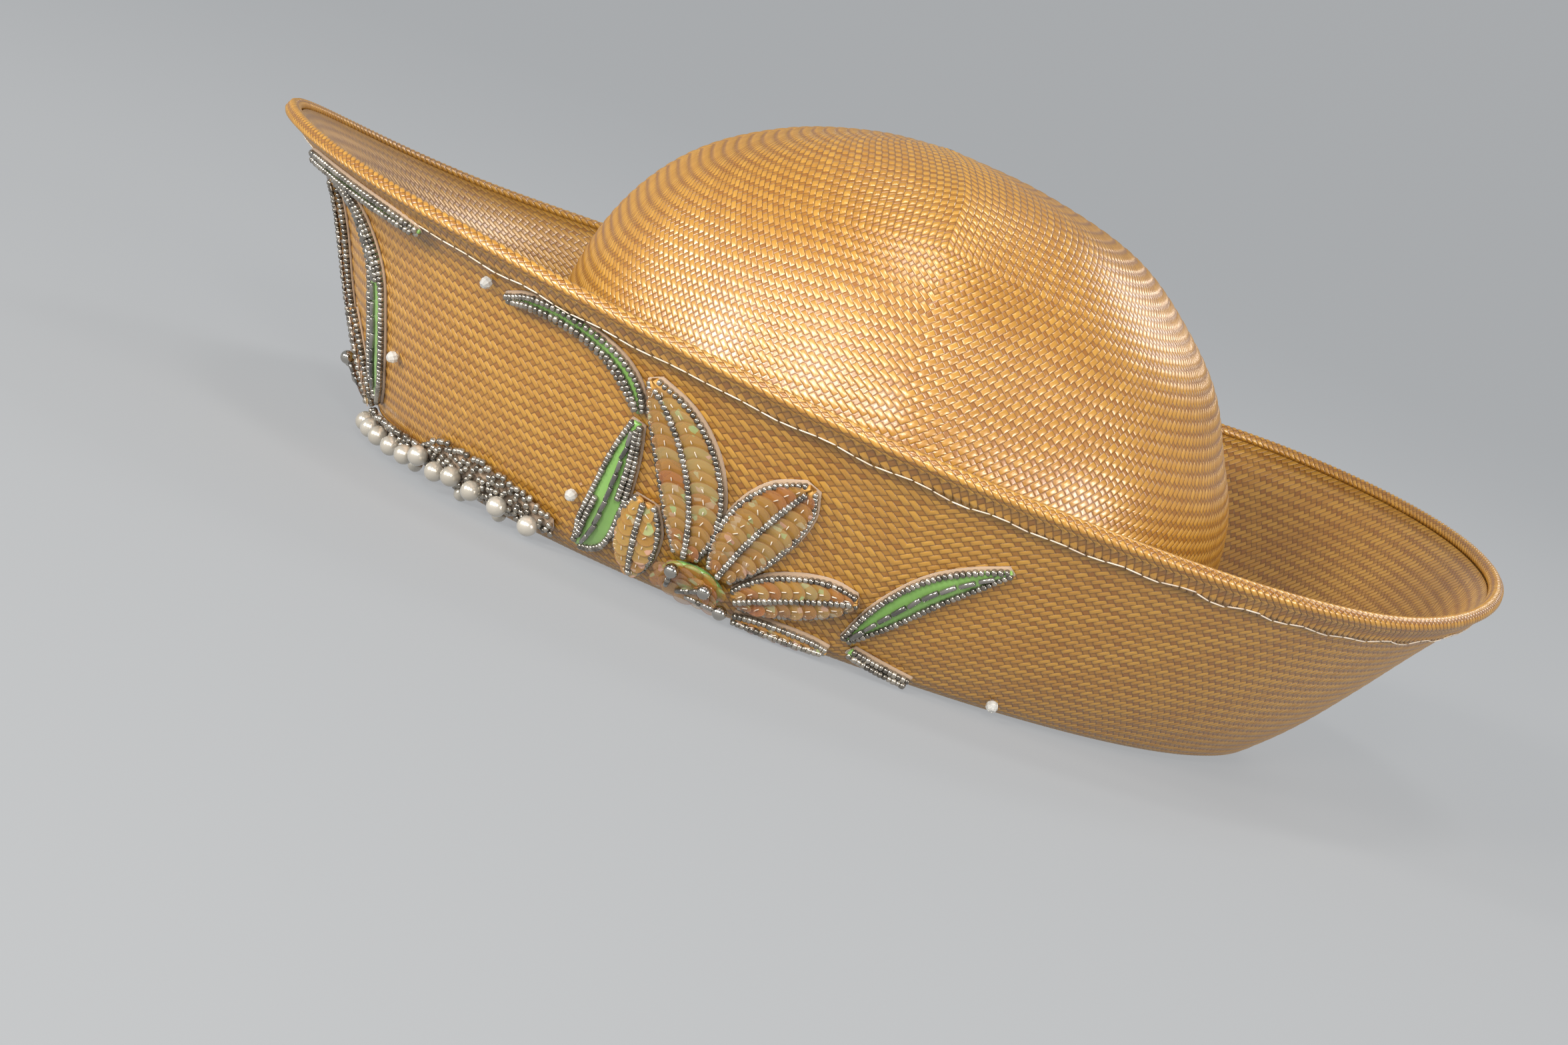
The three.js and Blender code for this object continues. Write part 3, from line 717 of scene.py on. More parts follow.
def on_brim(pattern, mirrored=False):
    """Points and outward normals on the brim for rows of around, up and lift."""
    around, up, lift = np.asarray(pattern, float).T
    if mirrored:
        around = 2 * MIRROR_LINE - around
        up = FRONT_RAISE + FRONT_STRETCH * up
    turn = np.interp(around, girth, pattern_turns)
    place = (turn + np.pi) / (2 * np.pi) * TURN_STEPS
    low = np.minimum(place.astype(int), TURN_STEPS - 1)
    part = (place - low)[:, None]
    lengths = wall_lengths[low] * (1 - part) + wall_lengths[low + 1] * part
    climb = np.array([np.interp(height, row, pattern_climbs) for height, row in zip(up, lengths)])
    normals = outward_normals(brim_surface, turn, climb)
    return brim_surface(turn, climb) + normals * lift[:, None], normals


print(f"the brim is {2 * girth[-1]:.0f} mm round, half way up its wall")

# %% Petals and leaves of the pattern
# Where a petal leaves the throat, the bow of its midrib, its tip and its full width
PETALS = {
    "petal_tall": dict(base=(182.5, 28.5), bow=(182.5, 55), tip=(165, 77), width=16.5),
    "petal_back": dict(base=(193, 27.5), bow=(198.5, 48), tip=(206.5, 67.5), width=16),
    "petal_side": dict(base=(199.5, 21.5), bow=(214, 32), tip=(229, 39.5), width=13.5),
    "petal_low": dict(base=(201, 13), bow=(215, 13.8), tip=(231, 15.5), width=7),
    "petal_near": dict(base=(168.5, 40), bow=(167, 27.5), tip=(166.5, 13.5), width=12.5),
}
PETAL_SWELL = np.array([0.38, 0.76, 0.96, 1, 0.93, 0.7, 0.12])

# Around, up and full width along the midrib of each leaf
LEAVES = {
    "leaf_top": [
        (123, 79, 1), (134, 82.5, 4.6), (145, 82, 5.4),
        (154, 77.5, 5.4), (160, 70.5, 4.4), (162.5, 64.5, 2),
    ],
    "leaf_foot": [(162.5, 61.5, 2), (160.5, 50, 6.6), (157, 34, 9.6), (152.5, 21.5, 9.6), (147, 15, 2)],
    "leaf_back": [(232.5, 24, 1.6), (236.5, 37, 7), (243, 53, 8), (249, 62, 5.6), (255, 69.5, 1)],
    "stem": [(236, 20, 2.2), (246, 17.5, 2.6), (256, 16, 1.8)],
}

# Leaves of the front lily that differ
FRONT_LEAVES = {
    "leaf_top": [
        (36, 95.5, 1), (50, 95.5, 4.6), (64, 94, 5.2), (78, 92, 4.8), (90, 90.5, 3.6), (98, 89.5, 1),
    ],
    "leaf_foot": [
        (41, 88, 2), (54, 79, 5.5), (61, 66, 7.5), (58, 50, 8.5), (50, 34, 8.5), (43, 24, 2),
    ],
}


def petal_spine(base, bow, tip, width):
    """Around, up and width along a petal's bent midrib."""
    share = np.linspace(0, 1, len(PETAL_SWELL))[:, None]
    base, bow, tip = np.array([base, bow, tip], float)
    midrib = (1 - share) ** 2 * base + 2 * share * (1 - share) * bow + share**2 * tip
    return np.column_stack([midrib, PETAL_SWELL * width])


def strip_places(spine, share, side):
    """Around and up at shares along a strip, and at sides from -1 to 1 across it."""
    share, side = np.broadcast_arrays(np.asarray(share, float), np.asarray(side, float))
    here = spline(spine, share.ravel(), centripetal=True)
    ahead = spline(spine, np.minimum(share.ravel() + SLOPE_STEP, 1), centripetal=True)
    behind = spline(spine, np.maximum(share.ravel() - SLOPE_STEP, 0), centripetal=True)
    along = (ahead - behind)[:, :2]
    along /= np.linalg.norm(along, axis=1, keepdims=True)
    across = np.column_stack([-along[:, 1], along[:, 0]])
    reach = side.ravel()[:, None] * here[:, 2:] / 2
    return (here[:, :2] + across * reach).reshape(*share.shape, 2)


print("one lily has", len(PETALS), "petals and", len(LEAVES), "leaves, its stem among them")

# %% [markdown]
# ## Small parts
#
# Beads, sequins and stitches come in thousands, so each kind is one small shape that is repeated
# with array arithmetic and joined into one mesh per piece. Every copy carries a random tone in its
# coordinates, which the shaders read, since no two glass beads have quite the same silver lining.


# %% Repeating a shape
def split(quads):
    """Two triangles for each square."""
    quads = np.asarray(quads)
    return np.concatenate([quads[:, [0, 1, 2]], quads[:, [0, 2, 3]]])


def turned_shape(profile, sides):
    """A shape turned about its x axis, from rows of place along the axis and radius."""
    angle = np.arange(sides) / sides * 2 * np.pi
    rings = [
        np.column_stack([np.full(sides, place), radius * np.cos(angle), radius * np.sin(angle)])
        for place, radius in profile
    ]
    points = np.concatenate([*rings, [[profile[0][0], 0, 0], [profile[-1][0], 0, 0]]])
    starts = sides * np.arange(len(profile) - 1)
    bands = [split(ring_bands(start, start + sides, sides)) for start in starts]
    step = np.arange(sides)
    after = (step + 1) % sides
    first, last = len(points) - 2, len(points) - 1
    start = np.stack([np.full(sides, first), after, step], axis=1)
    top = starts[-1] + sides
    end = np.stack([np.full(sides, last), top + step, top + after], axis=1)
    return points, np.concatenate([*bands, start, end])


def round_profile(rings):
    """Profile of a ball of radius 1."""
    angle = np.linspace(0, np.pi, rings + 2)[1:-1]
    return [(-np.cos(value), np.sin(value)) for value in angle]


SEED_SHAPE = turned_shape([(-0.72, 0.55), (-0.45, 0.9), (0, 1), (0.45, 0.9), (0.72, 0.55)], 8)
BUGLE_SHAPE = turned_shape([(-1, 0.7), (-0.94, 1), (0.94, 1), (1, 0.7)], 8)
STITCH_SHAPE = turned_shape([(-1, 0.4), (-0.8, 1), (0, 1.1), (0.8, 1), (1, 0.4)], 5)
SMALL_SHAPES = {"seed bead": SEED_SHAPE, "bugle bead": BUGLE_SHAPE, "stitch": STITCH_SHAPE}
for shape_name, (_, shape_triangles) in SMALL_SHAPES.items():
    print("each", shape_name, "has", len(shape_triangles), "triangles")


# %% Placing the copies
def repeat_shape(shape, centres, frames, sizes):
    """Copies of a shape. A frame is three rows: the axis of the shape and two directions across it."""
    shape_points, shape_faces = shape
    local = shape_points[None] * sizes[:, None, :]
    points = centres[:, None] + np.einsum("ntk,nkc->ntc", local, frames)
    shift = np.arange(len(centres)) * len(shape_points)
    faces = shape_faces[None] + shift[:, None, None]
    tones = np.repeat(rng.random(len(centres)), len(shape_faces))
    return points.reshape(-1, 3), faces.reshape(-1, 3), tones


def frames_along(tangents, normals):
    """Frames from directions along a line and away from the straw."""
    axis = tangents / np.linalg.norm(tangents, axis=1, keepdims=True)
    side = np.cross(normals, axis)
    side /= np.linalg.norm(side, axis=1, keepdims=True)
    return np.stack([axis, side, np.cross(axis, side)], axis=1)


def even_line(line, pitch):
    """Rows at even distances along a line of pattern rows."""
    length = running_length(line)
    count = max(int(round(length[-1] / pitch)), 1)
    at = (np.arange(count) + 0.5) / count * length[-1]
    return np.column_stack([np.interp(at, length, column) for column in line.T])


def string_beads(shape, line, pitch, size, mirrored=False, wobble=0.12):
    """Beads of one shape along a line of pattern rows. The size is half a length and a radius."""
    fine = even_line(np.asarray(line, float), pitch / 4)
    rows = even_line(fine, pitch)
    centres, normals = on_brim(rows, mirrored)
    fine_points, _ = on_brim(fine, mirrored)
    gaps = np.linalg.norm(fine_points[None] - centres[:, None], axis=2)
    nearest = np.argmin(gaps, axis=1)
    before = np.maximum(nearest - 2, 0)
    after = np.minimum(nearest + 2, len(fine) - 1)
    tangents = fine_points[after] - fine_points[before] + 1e-6
    tangents /= np.linalg.norm(tangents, axis=1, keepdims=True)
    frames = frames_along(tangents + rng.normal(0, wobble, tangents.shape), normals)
    scale = rng.uniform(0.9, 1.1, (len(centres), 1))
    sizes = np.array([[size[0], size[1], size[1]]]) * scale
    return repeat_shape(shape, centres, frames, sizes)


def corner_tones(tones):
    """Tone and edge distance at each corner of each triangle, from tones alone or from both."""
    tones = np.asarray(tones, float)
    if tones.ndim == 3:
        return tones
    return np.stack([np.repeat(tones[:, None], 3, axis=1), np.zeros((len(tones), 3))], axis=-1)


def make_trim(name, parts, replaces=(), smooth=True):
    """A piece joined from parts, each a material with points, triangles and a tone per triangle."""
    materials, points, faces, tones, indices = [], [], [], [], []
    count = 0
    for material, (part_points, part_faces, part_tones) in parts:
        if material not in materials:
            materials.append(material)
        points.append(part_points)
        faces.append(np.asarray(part_faces) + count)
        tones.append(part_tones)
        indices.append(np.full(len(part_faces), materials.index(material)))
        count += len(part_points)
    face_uv = np.concatenate([corner_tones(part_tones) for part_tones in tones])
    all_points, all_faces = np.concatenate(points), np.concatenate(faces)
    piece = make_piece(name, all_points, all_faces, materials[0], replaces, face_uv, smooth)
    for material in materials[1:]:
        piece.data.materials.append(material)
    piece.data.polygons.foreach_set("material_index", np.concatenate(indices).astype(np.int32))
    lowest = all_points[:, 2].min()
    if lowest < 0:
        print(f"{name} reaches {lowest:.2f} mm, below the floor")
    return piece


# %% [markdown]
# ## Bead, sequin, satin and pearl
#
# The seed beads are glass with a silver lining: each shows one small bright light and a dark
# surround, so they are metal of a greyed tone with a clear coat. The sequins are amber film that
# lets the one below show through, with thin-film colours where the light catches them. One node
# group turns a bead's random tone into its colour and gloss. All trim materials share it, apart from
# the sequins, which have a group of their own.

# %% Tone group
GLOSS_SCRAMBLE = 37.3  # spreads the tones anew, so that gloss does not follow colour


def make_tone_group():
    """A colour between two, and a gloss between two, from the tone of each small part."""
    group, inside, outside = new_group(
        "Tone of each part",
        [
            ("Tone", "NodeSocketFloat", 0.5),
            ("Dark", "NodeSocketColor", (0.1, 0.1, 0.1, 1)),
            ("Light", "NodeSocketColor", (0.8, 0.8, 0.8, 1)),
            ("Glossy", "NodeSocketFloat", 0.1),
            ("Matt", "NodeSocketFloat", 0.3),
        ],
        [("Colour", "NodeSocketColor"), ("Roughness", "NodeSocketFloat")],
    )
    tone = inside.outputs["Tone"]
    colour = blend_colours(group, tone, inside.outputs["Dark"], inside.outputs["Light"])
    scrambled = math_node(group, "FRACT", math_node(group, "MULTIPLY", tone, GLOSS_SCRAMBLE))
    roughness = blend_values(group, scrambled, inside.outputs["Glossy"], inside.outputs["Matt"])
    group.links.new(colour, outside.inputs["Colour"])
    group.links.new(roughness, outside.inputs["Roughness"])
    return group


tone_group = make_tone_group()
print("the tone group has", len(tone_group.nodes), "nodes")


# %% Trim materials
def toned_material(name, dark, light, glossy, matt, **settings):
    """A material whose colour and gloss differ from one small part to the next."""
    material, tree, shader = new_material(name, dark, glossy, **settings)
    coordinates = tree.nodes.new("ShaderNodeUVMap")
    coordinates.uv_map = "weave"
    parts = tree.nodes.new("ShaderNodeSeparateXYZ")
    tree.links.new(coordinates.outputs["UV"], parts.inputs[0])
    tone = tree.nodes.new("ShaderNodeGroup")
    tone.node_tree = tone_group
    tree.links.new(parts.outputs[0], tone.inputs["Tone"])
    tone.inputs["Dark"].default_value = (*dark, 1)
    tone.inputs["Light"].default_value = (*light, 1)
    tone.inputs["Glossy"].default_value = glossy
    tone.inputs["Matt"].default_value = matt
    tree.links.new(tone.outputs["Colour"], shader.inputs["Base Color"])
    tree.links.new(tone.outputs["Roughness"], shader.inputs["Roughness"])
    return material


# Each has its darkest and lightest colour, and its lowest and highest roughness
seed_glass = toned_material(
    "silver-lined seed bead", (0.13, 0.115, 0.095), (0.42, 0.38, 0.32), 0.1, 0.24,
    Metallic=0.8, Coat_Weight=0.6,
)
bugle_glass = toned_material(
    "silver-lined bugle bead", (0.1, 0.095, 0.085), (0.3, 0.28, 0.25), 0.08, 0.2,
    Metallic=0.75, Coat_Weight=0.8,
)
polished = toned_material(
    "polished silver bead", (0.42, 0.4, 0.36), (0.55, 0.52, 0.47), 0.06, 0.1,
    Metallic=1.0,
)
petal_cloth = toned_material("petal cloth", (0.4, 0.19, 0.035), (0.44, 0.23, 0.05), 0.5, 0.6)
felt = toned_material(
    "felt backing", (0.27, 0.18, 0.11), (0.33, 0.23, 0.15), 0.85, 0.95,
    Sheen_Weight=0.3,
)
satin = toned_material(
    "green satin", (0.14, 0.3, 0.055), (0.2, 0.37, 0.09), 0.28, 0.36,
    Sheen_Weight=0.2,
)
thread = toned_material("pale thread", (0.5, 0.41, 0.32), (0.64, 0.55, 0.45), 0.35, 0.45)
pearl = toned_material(
    "pearl", (0.46, 0.42, 0.35), (0.55, 0.51, 0.44), 0.2, 0.27,
    Metallic=0.55, Coat_Weight=1.0,
)
crystal = toned_material(
    "faceted crystal", (0.6, 0.6, 0.58), (0.75, 0.74, 0.7), 0.03, 0.08,
    Transmission_Weight=0.45, Coat_Weight=1.0,
)
print("the tone group serves", tone_group.users, "materials")

# %% [markdown]
# Real sequins are punched from thin clear film that shimmers green and pink. Here each disc has a
# colour from its own random tone, a few small cells of painted shimmer, and painted shade along its
# edge, which also hides more. The middle lets some of the cloth and the next sequin show, which
# makes them look thin.

# %% Sequin film
FILM_COLOURS = [
    (0.0, (0.44, 0.15, 0.026)),
    (0.15, (0.42, 0.19, 0.03)),
    (0.5, (0.45, 0.24, 0.042)),
    (0.85, (0.48, 0.29, 0.07)),
    (1.0, (0.44, 0.33, 0.11)),
]
# Painted shimmer: a few small cells of each sequin are tinted green or pink, like glints of the film
PAINTED_SHIMMER_GREEN = (0.3, 0.85, 0.35, 1)
PAINTED_SHIMMER_PINK = (0.95, 0.5, 0.5, 1)
# Painted shade along the edge of each sequin
EDGE_SHADE_COLOUR = (0.3, 0.12, 0.025, 1)
PAINTED_SHIMMER_SCALE = 520.0  # cells of shimmer in a metre
PAINTED_SHIMMER_RARITY = 0.9  # share of the cells without shimmer
PAINTED_SHIMMER_STRENGTH = 0.45
CUT_EDGE = (9.0, -8.0)  # slope and offset: the edge begins at eight ninths of the radius
FILM_SCRAMBLE = 23.7
FILM_ROUGHNESS = (0.1, 0.24)
FILM_COVER = (0.62, 0.95)  # in the middle and at the edge


def make_film_group():
    """Colour, gloss and cover of a sequin, from its tone and the distance from its middle."""
    group, inside, outside = new_group(
        "Sequin film",
        [("Tone", "NodeSocketFloat", 0.5), ("Edge", "NodeSocketFloat", 0.0)],
        [("Colour", "NodeSocketColor"), ("Roughness", "NodeSocketFloat"), ("Cover", "NodeSocketFloat")],
    )
    ramp = group.nodes.new("ShaderNodeValToRGB")
    stops = ramp.color_ramp.elements
    while len(stops) < len(FILM_COLOURS):
        stops.new(0.5)
    for stop, (place, colour) in zip(stops, FILM_COLOURS):
        stop.position = place
        stop.color = (*colour, 1)
    group.links.new(inside.outputs["Tone"], ramp.inputs[0])
    past = math_node(group, "MULTIPLY_ADD", inside.outputs["Edge"], *CUT_EDGE)
    rim = math_node(group, "MINIMUM", math_node(group, "MAXIMUM", past, 0.0), 1.0)

    # Painted shimmer in a few small cells
    where = group.nodes.new("ShaderNodeTexCoord")
    cells = group.nodes.new("ShaderNodeTexVoronoi")
    cells.inputs["Scale"].default_value = PAINTED_SHIMMER_SCALE
    group.links.new(where.outputs["Object"], cells.inputs["Vector"])
    cell = group.nodes.new("ShaderNodeSeparateColor")
    group.links.new(cells.outputs["Color"], cell.inputs[0])
    lit = math_node(group, "GREATER_THAN", cell.outputs[0], PAINTED_SHIMMER_RARITY)
    painted_shimmer_colour = blend_colours(group, cell.outputs[1], PAINTED_SHIMMER_PINK, PAINTED_SHIMMER_GREEN)
    painted_shimmer = math_node(group, "MULTIPLY", lit, PAINTED_SHIMMER_STRENGTH)
    film = blend_colours(group, painted_shimmer, ramp.outputs[0], painted_shimmer_colour)
    # Painted shade: each sequin's colour darkens towards its edge
    colour = blend_colours(group, rim, film, EDGE_SHADE_COLOUR)
    spread = math_node(group, "MULTIPLY", inside.outputs["Tone"], FILM_SCRAMBLE)
    scrambled = math_node(group, "FRACT", spread)
    group.links.new(colour, outside.inputs["Colour"])
    group.links.new(blend_values(group, scrambled, *FILM_ROUGHNESS), outside.inputs["Roughness"])
    group.links.new(blend_values(group, rim, *FILM_COVER), outside.inputs["Cover"])
    return group


def make_sequin():
    """Amber film: clear enough to show the sequin below, with painted shade at its edge and painted
    shimmer.
    """
    settings = dict(Coat_Weight=0.6, Coat_Roughness=0.06, Thin_Film_Thickness=380.0, Thin_Film_IOR=1.7)
    material, tree, shader = new_material("amber sequin", FILM_COLOURS[0][1], FILM_ROUGHNESS[0], **settings)
    coordinates = tree.nodes.new("ShaderNodeUVMap")
    coordinates.uv_map = "weave"
    parts = tree.nodes.new("ShaderNodeSeparateXYZ")
    tree.links.new(coordinates.outputs["UV"], parts.inputs[0])
    film = tree.nodes.new("ShaderNodeGroup")
    film.node_tree = make_film_group()
    tree.links.new(parts.outputs[0], film.inputs["Tone"])
    tree.links.new(parts.outputs[1], film.inputs["Edge"])
    tree.links.new(film.outputs["Colour"], shader.inputs["Base Color"])
    tree.links.new(film.outputs["Roughness"], shader.inputs["Roughness"])
    tree.links.new(film.outputs["Cover"], shader.inputs["Alpha"])
    return material


sequin = make_sequin()
print("sequin material with", len(sequin.node_tree.nodes), "nodes")

# %% [markdown]
# ## Rolled edge
#
# The cloth is turned over a wire at the rim and sewn down outside, so the edge is a round roll
# above a flat hem. The strands wind round the roll, which looks like a plait. It is woven on the
# same lattice as the brim, over a section drawn across the wall and along it. A running stitch of
# pale thread wavers along the hem.

# %% Rolled edge
ROLL_RADIUS = 2.0
ROLL_CENTRE = (-0.4, 2.3)
HEM_DEPTH = 5.0
HEM_NEAR, HEM_FAR = 0.3, 1.2
HEM_TOP = 0.6  # the hem runs up to here, past the rim of the wall
ROLL_COLUMNS = 900
HEM_ROWS = 4
ROLL_ROWS = 11
ROLL_RELIEF = 1.5  # relief of the twill, as a share of the brim's
ROLL_BUMP = 0.3


def rim_frames(turn):
    """Points of the rim, with directions out of the wall and up along it."""
    rim = brim_surface(turn, np.ones_like(turn))
    outward = outward_normals(brim_surface, turn, np.ones_like(turn))
    upward = rim - brim_surface(turn, np.full_like(turn, 0.96))
    return rim, outward, upward / np.linalg.norm(upward, axis=1, keepdims=True)


def weave_roll():
    """The hem's outside, the roll and the hem's back, as rings of a twill."""
    start = -np.arccos((HEM_FAR - ROLL_CENTRE[0]) / ROLL_RADIUS)
    end = 2 * np.pi - np.arccos((HEM_NEAR - ROLL_CENTRE[0]) / ROLL_RADIUS)
    section = [(HEM_NEAR, -HEM_DEPTH)]
    section += [(HEM_FAR, up) for up in np.linspace(-HEM_DEPTH, HEM_TOP, HEM_ROWS)]
    section += [
        (ROLL_CENTRE[0] + ROLL_RADIUS * np.cos(angle), ROLL_CENTRE[1] + ROLL_RADIUS * np.sin(angle))
        for angle in np.linspace(start, end, ROLL_ROWS + 1)
    ]
    section = np.array(section)
    turn = np.arange(ROLL_COLUMNS) / ROLL_COLUMNS * 2 * np.pi
    rim, outward, upward = rim_frames(turn)
    column = np.arange(ROLL_COLUMNS)
    lean = np.ones(ROLL_COLUMNS, int)
    points, faces, weave = [], [], []
    for row, (out, up) in enumerate(section):
        spread = np.zeros(ROLL_COLUMNS)
        if 1 <= row < len(section) - 1:
            spread = ROLL_RELIEF * twill_level(column, row)
        away = np.array([out, up]) - np.array(ROLL_CENTRE)
        if row <= HEM_ROWS:
            away = np.array([1.0, 0.0])
        away = away / np.linalg.norm(away)
        out_reach = (out + spread * away[0])[:, None]
        up_reach = (up + spread * away[1])[:, None]
        points.append(rim + outward * out_reach + upward * up_reach)
        after = (row + 1) % len(section)
        squares = ring_bands(row * ROLL_COLUMNS, after * ROLL_COLUMNS, ROLL_COLUMNS)
        triangles, uv = twill_faces(squares, column, np.full(ROLL_COLUMNS, row), lean)
        faces.append(triangles)
        weave.append(uv)
    return np.concatenate(points), np.concatenate(faces), np.concatenate(weave)


roll_straw = make_straw("straw of the edge", ROLL_BUMP)
roll_points, roll_faces, roll_weave = weave_roll()
make_piece("plaited_rim", roll_points, roll_faces, roll_straw, ["rim_roll"], roll_weave)

# %% Hem stitches
STITCH_PITCH = 5.2
STITCH_LENGTH_SHARE = 0.92  # the rest of each step is a gap
HEM_STITCH_RADIUS = 0.2
STITCH_LINE = 0.7  # above the lower edge of the hem
HEM_SAMPLES = 2000


def sew_hem():
    """Stitches along the lower edge of the hem, each a little out of line."""
    turn = np.linspace(0, 2 * np.pi, HEM_SAMPLES, endpoint=False)
    waver = np.zeros(HEM_SAMPLES)
    for _ in range(5):
        depth, waves = rng.uniform(0.15, 0.4), rng.integers(9, 60)
        waver += depth * np.sin(turn * waves + rng.uniform(0, 6))
    rim, outward, upward = rim_frames(turn)
    height = STITCH_LINE - HEM_DEPTH + waver
    line = rim + outward * (HEM_FAR + 0.3) + upward * height[:, None]
    length = running_length(line)
    count = int(length[-1] / STITCH_PITCH)
    at = (np.arange(count) + 0.5) / count * length[-1]
    centres = np.column_stack([np.interp(at, length, line[:, axis]) for axis in range(3)])
    behind = np.column_stack([np.interp(at - 2, length, line[:, axis]) for axis in range(3)])
    normals = np.column_stack([np.interp(at, length, outward[:, axis]) for axis in range(3)])
    frames = frames_along(centres - behind, normals)
    half_length = STITCH_PITCH * STITCH_LENGTH_SHARE / 2
    sizes = np.tile([half_length, HEM_STITCH_RADIUS, HEM_STITCH_RADIUS], (count, 1))
    return repeat_shape(STITCH_SHAPE, centres, frames, sizes)


make_trim("hem_stitches", [(thread, sew_hem())])

# %% [markdown]
# ## Petals
#
# A petal is padded cloth on a felt backing, with two lobes either side of a groove. Sequins are
# sewn down each lobe from the tip to the base, so that each one covers part of the last, and a
# short stitch holds each. Seed beads edge the petal and run along its groove.

# %% Petal padding
SEED_RADIUS = 1.0
SEED_SIZE = (0.98, SEED_RADIUS)
SEED_PITCH = 1.48
PETAL_ROWS = 26


def skin_strip(spine, sides, lifts, rows, mirrored, widen=0.0):
    """A closed strip on the brim, from a section given by sides and lifts."""
    spine = np.asarray(spine, float) + [0, 0, widen]
    share = np.linspace(0, 1, rows + 1)[:, None]
    places = strip_places(spine, share, np.asarray(sides, float)[None, :])
    lift = np.broadcast_to(np.asarray(lifts, float), places.shape[:2])
    points, _ = on_brim(np.concatenate([places, lift[..., None]], axis=-1).reshape(-1, 3), mirrored)
    count = len(sides)
    bands = [split(ring_bands(row * count, (row + 1) * count, count)) for row in range(rows)]
    ends = []
    for ring, turned in ((0, False), (rows, True)):
        middle = points[ring * count:(ring + 1) * count].mean(axis=0)
        points = np.concatenate([points, [middle]])
        tip = np.full(count, len(points) - 1)
        step = np.arange(count)
        after = (step + 1) % count
        fan = np.stack([tip, ring * count + after, ring * count + step], axis=1)
        ends.append(fan[:, ::-1] if turned else fan)
    faces = np.concatenate([*bands, *ends])
    if mirrored:
        faces = faces[:, ::-1]
    band_tones = np.repeat(np.linspace(0, 1, rows), 2 * count)
    return points, faces, np.concatenate([band_tones, np.zeros(count), np.ones(count)])


PADDING_SIDES = [0, 0.22, 0.5, 0.8, 0.97]
PADDING_HEIGHTS = [1.0, 1.55, 1.8, 1.45, 0.7]


def petal_lift(side):
    """Height of the padding across a petal, from its groove to its edge."""
    return TRIM_LIFT + np.interp(np.abs(side), PADDING_SIDES, PADDING_HEIGHTS)


padding_line = np.linspace(0.97, -0.97, 17)
PETAL_SIDES = np.concatenate([[-1, 1], padding_line])
PETAL_LIFTS = np.concatenate([[TRIM_LIFT, TRIM_LIFT], petal_lift(padding_line)])
BACKING_SIDES = np.array([-1, 1, 1, -1])
BACKING_LIFTS = np.array([0.1, 0.1, TRIM_LIFT + 0.15, TRIM_LIFT + 0.15])
print(f"the padding of a petal is {PETAL_LIFTS.max():.2f} mm above the straw")


# %% Sequins and their stitches
SEQUIN_PITCH = 3.3
SEQUIN_REACH = 3.4
SEQUIN_SIDES = 18
SEQUIN_TIP = 0.6  # how far a sequin tips up towards the way it points
# Radius and height of the rings of a sequin, from its middle
SEQUIN_RINGS = ((0.5, 0.09), (0.88, 0.05), (1.0, 0.03))


def sequin_shape():
    """A thin cupped disc of radius 1, with its face along the third axis."""
    sides = SEQUIN_SIDES
    angle = np.arange(sides) / sides * 2 * np.pi
    circle = np.column_stack([np.cos(angle), np.sin(angle)])
    points = [[[0, 0, 0.1]]]
    for radius, lift in SEQUIN_RINGS:
        points.append(np.column_stack([circle * radius, np.full(sides, lift)]))
    bands = [split(ring_bands(1 + row * sides, 1 + (row + 1) * sides, sides)) for row in range(2)]
    step = np.arange(sides)
    middle = np.stack([np.zeros(sides, int), 1 + step, 1 + (step + 1) % sides], axis=1)
    return np.concatenate(points), np.concatenate([middle, *[band[:, ::-1] for band in bands]])


SEQUIN_SHAPE = sequin_shape()
print("each sequin has", len(SEQUIN_SHAPE[1]), "triangles")


def lay_sequins(places, along, reaches, lifts, mirrored):
    """Sequins at pattern places. Each tips up towards the way it points and lies on the next."""
    shape_points, shape_faces = SEQUIN_SHAPE
    across = np.column_stack([-along[:, 1], along[:, 0]])
    patterns, tones = [], []
    for place, ahead, sideways, reach, lift in zip(places, along, across, reaches, lifts):
        tilt = rng.normal(0, 0.06)
        flat = place + shape_points[:, :1] * reach[0] * ahead + shape_points[:, 1:2] * reach[1] * sideways
        height = lift + SEQUIN_TIP * shape_points[:, 0] + shape_points[:, 2]
        height = height + tilt * shape_points[:, 1] * reach[1]
        patterns.append(np.column_stack([flat, height]))
        tones.append(rng.random())
    points, _ = on_brim(np.concatenate(patterns), mirrored)
    shift = np.arange(len(places)) * len(shape_points)
    faces = (shape_faces[None] + shift[:, None, None]).reshape(-1, 3)
    edge = np.hypot(shape_points[:, 0], shape_points[:, 1])[shape_faces]
    corner_edge = np.tile(edge, (len(places), 1))
    corner_tone = np.repeat(tones, len(shape_faces))[:, None] * np.ones(3)
    if mirrored:
        faces, corner_edge = faces[:, ::-1], corner_edge[:, ::-1]
    return points, faces, np.stack([corner_tone, corner_edge], axis=-1)


def sew_stitches(places, along, lifts, mirrored):
    """Short stitches that hold the sequins, each a little askew."""
    centres, normals = on_brim(np.column_stack([places, lifts]), mirrored)
    askew = along + rng.normal(0, 0.3, along.shape)
    tips, _ = on_brim(np.column_stack([places + askew, lifts]), mirrored)
    frames = frames_along(tips - centres, normals)
    half_lengths = rng.uniform(0.5, 0.85, (len(places), 1))
    sizes = np.concatenate([half_lengths, np.full((len(places), 2), 0.14)], axis=1)
    return repeat_shape(STITCH_SHAPE, centres, frames, sizes)


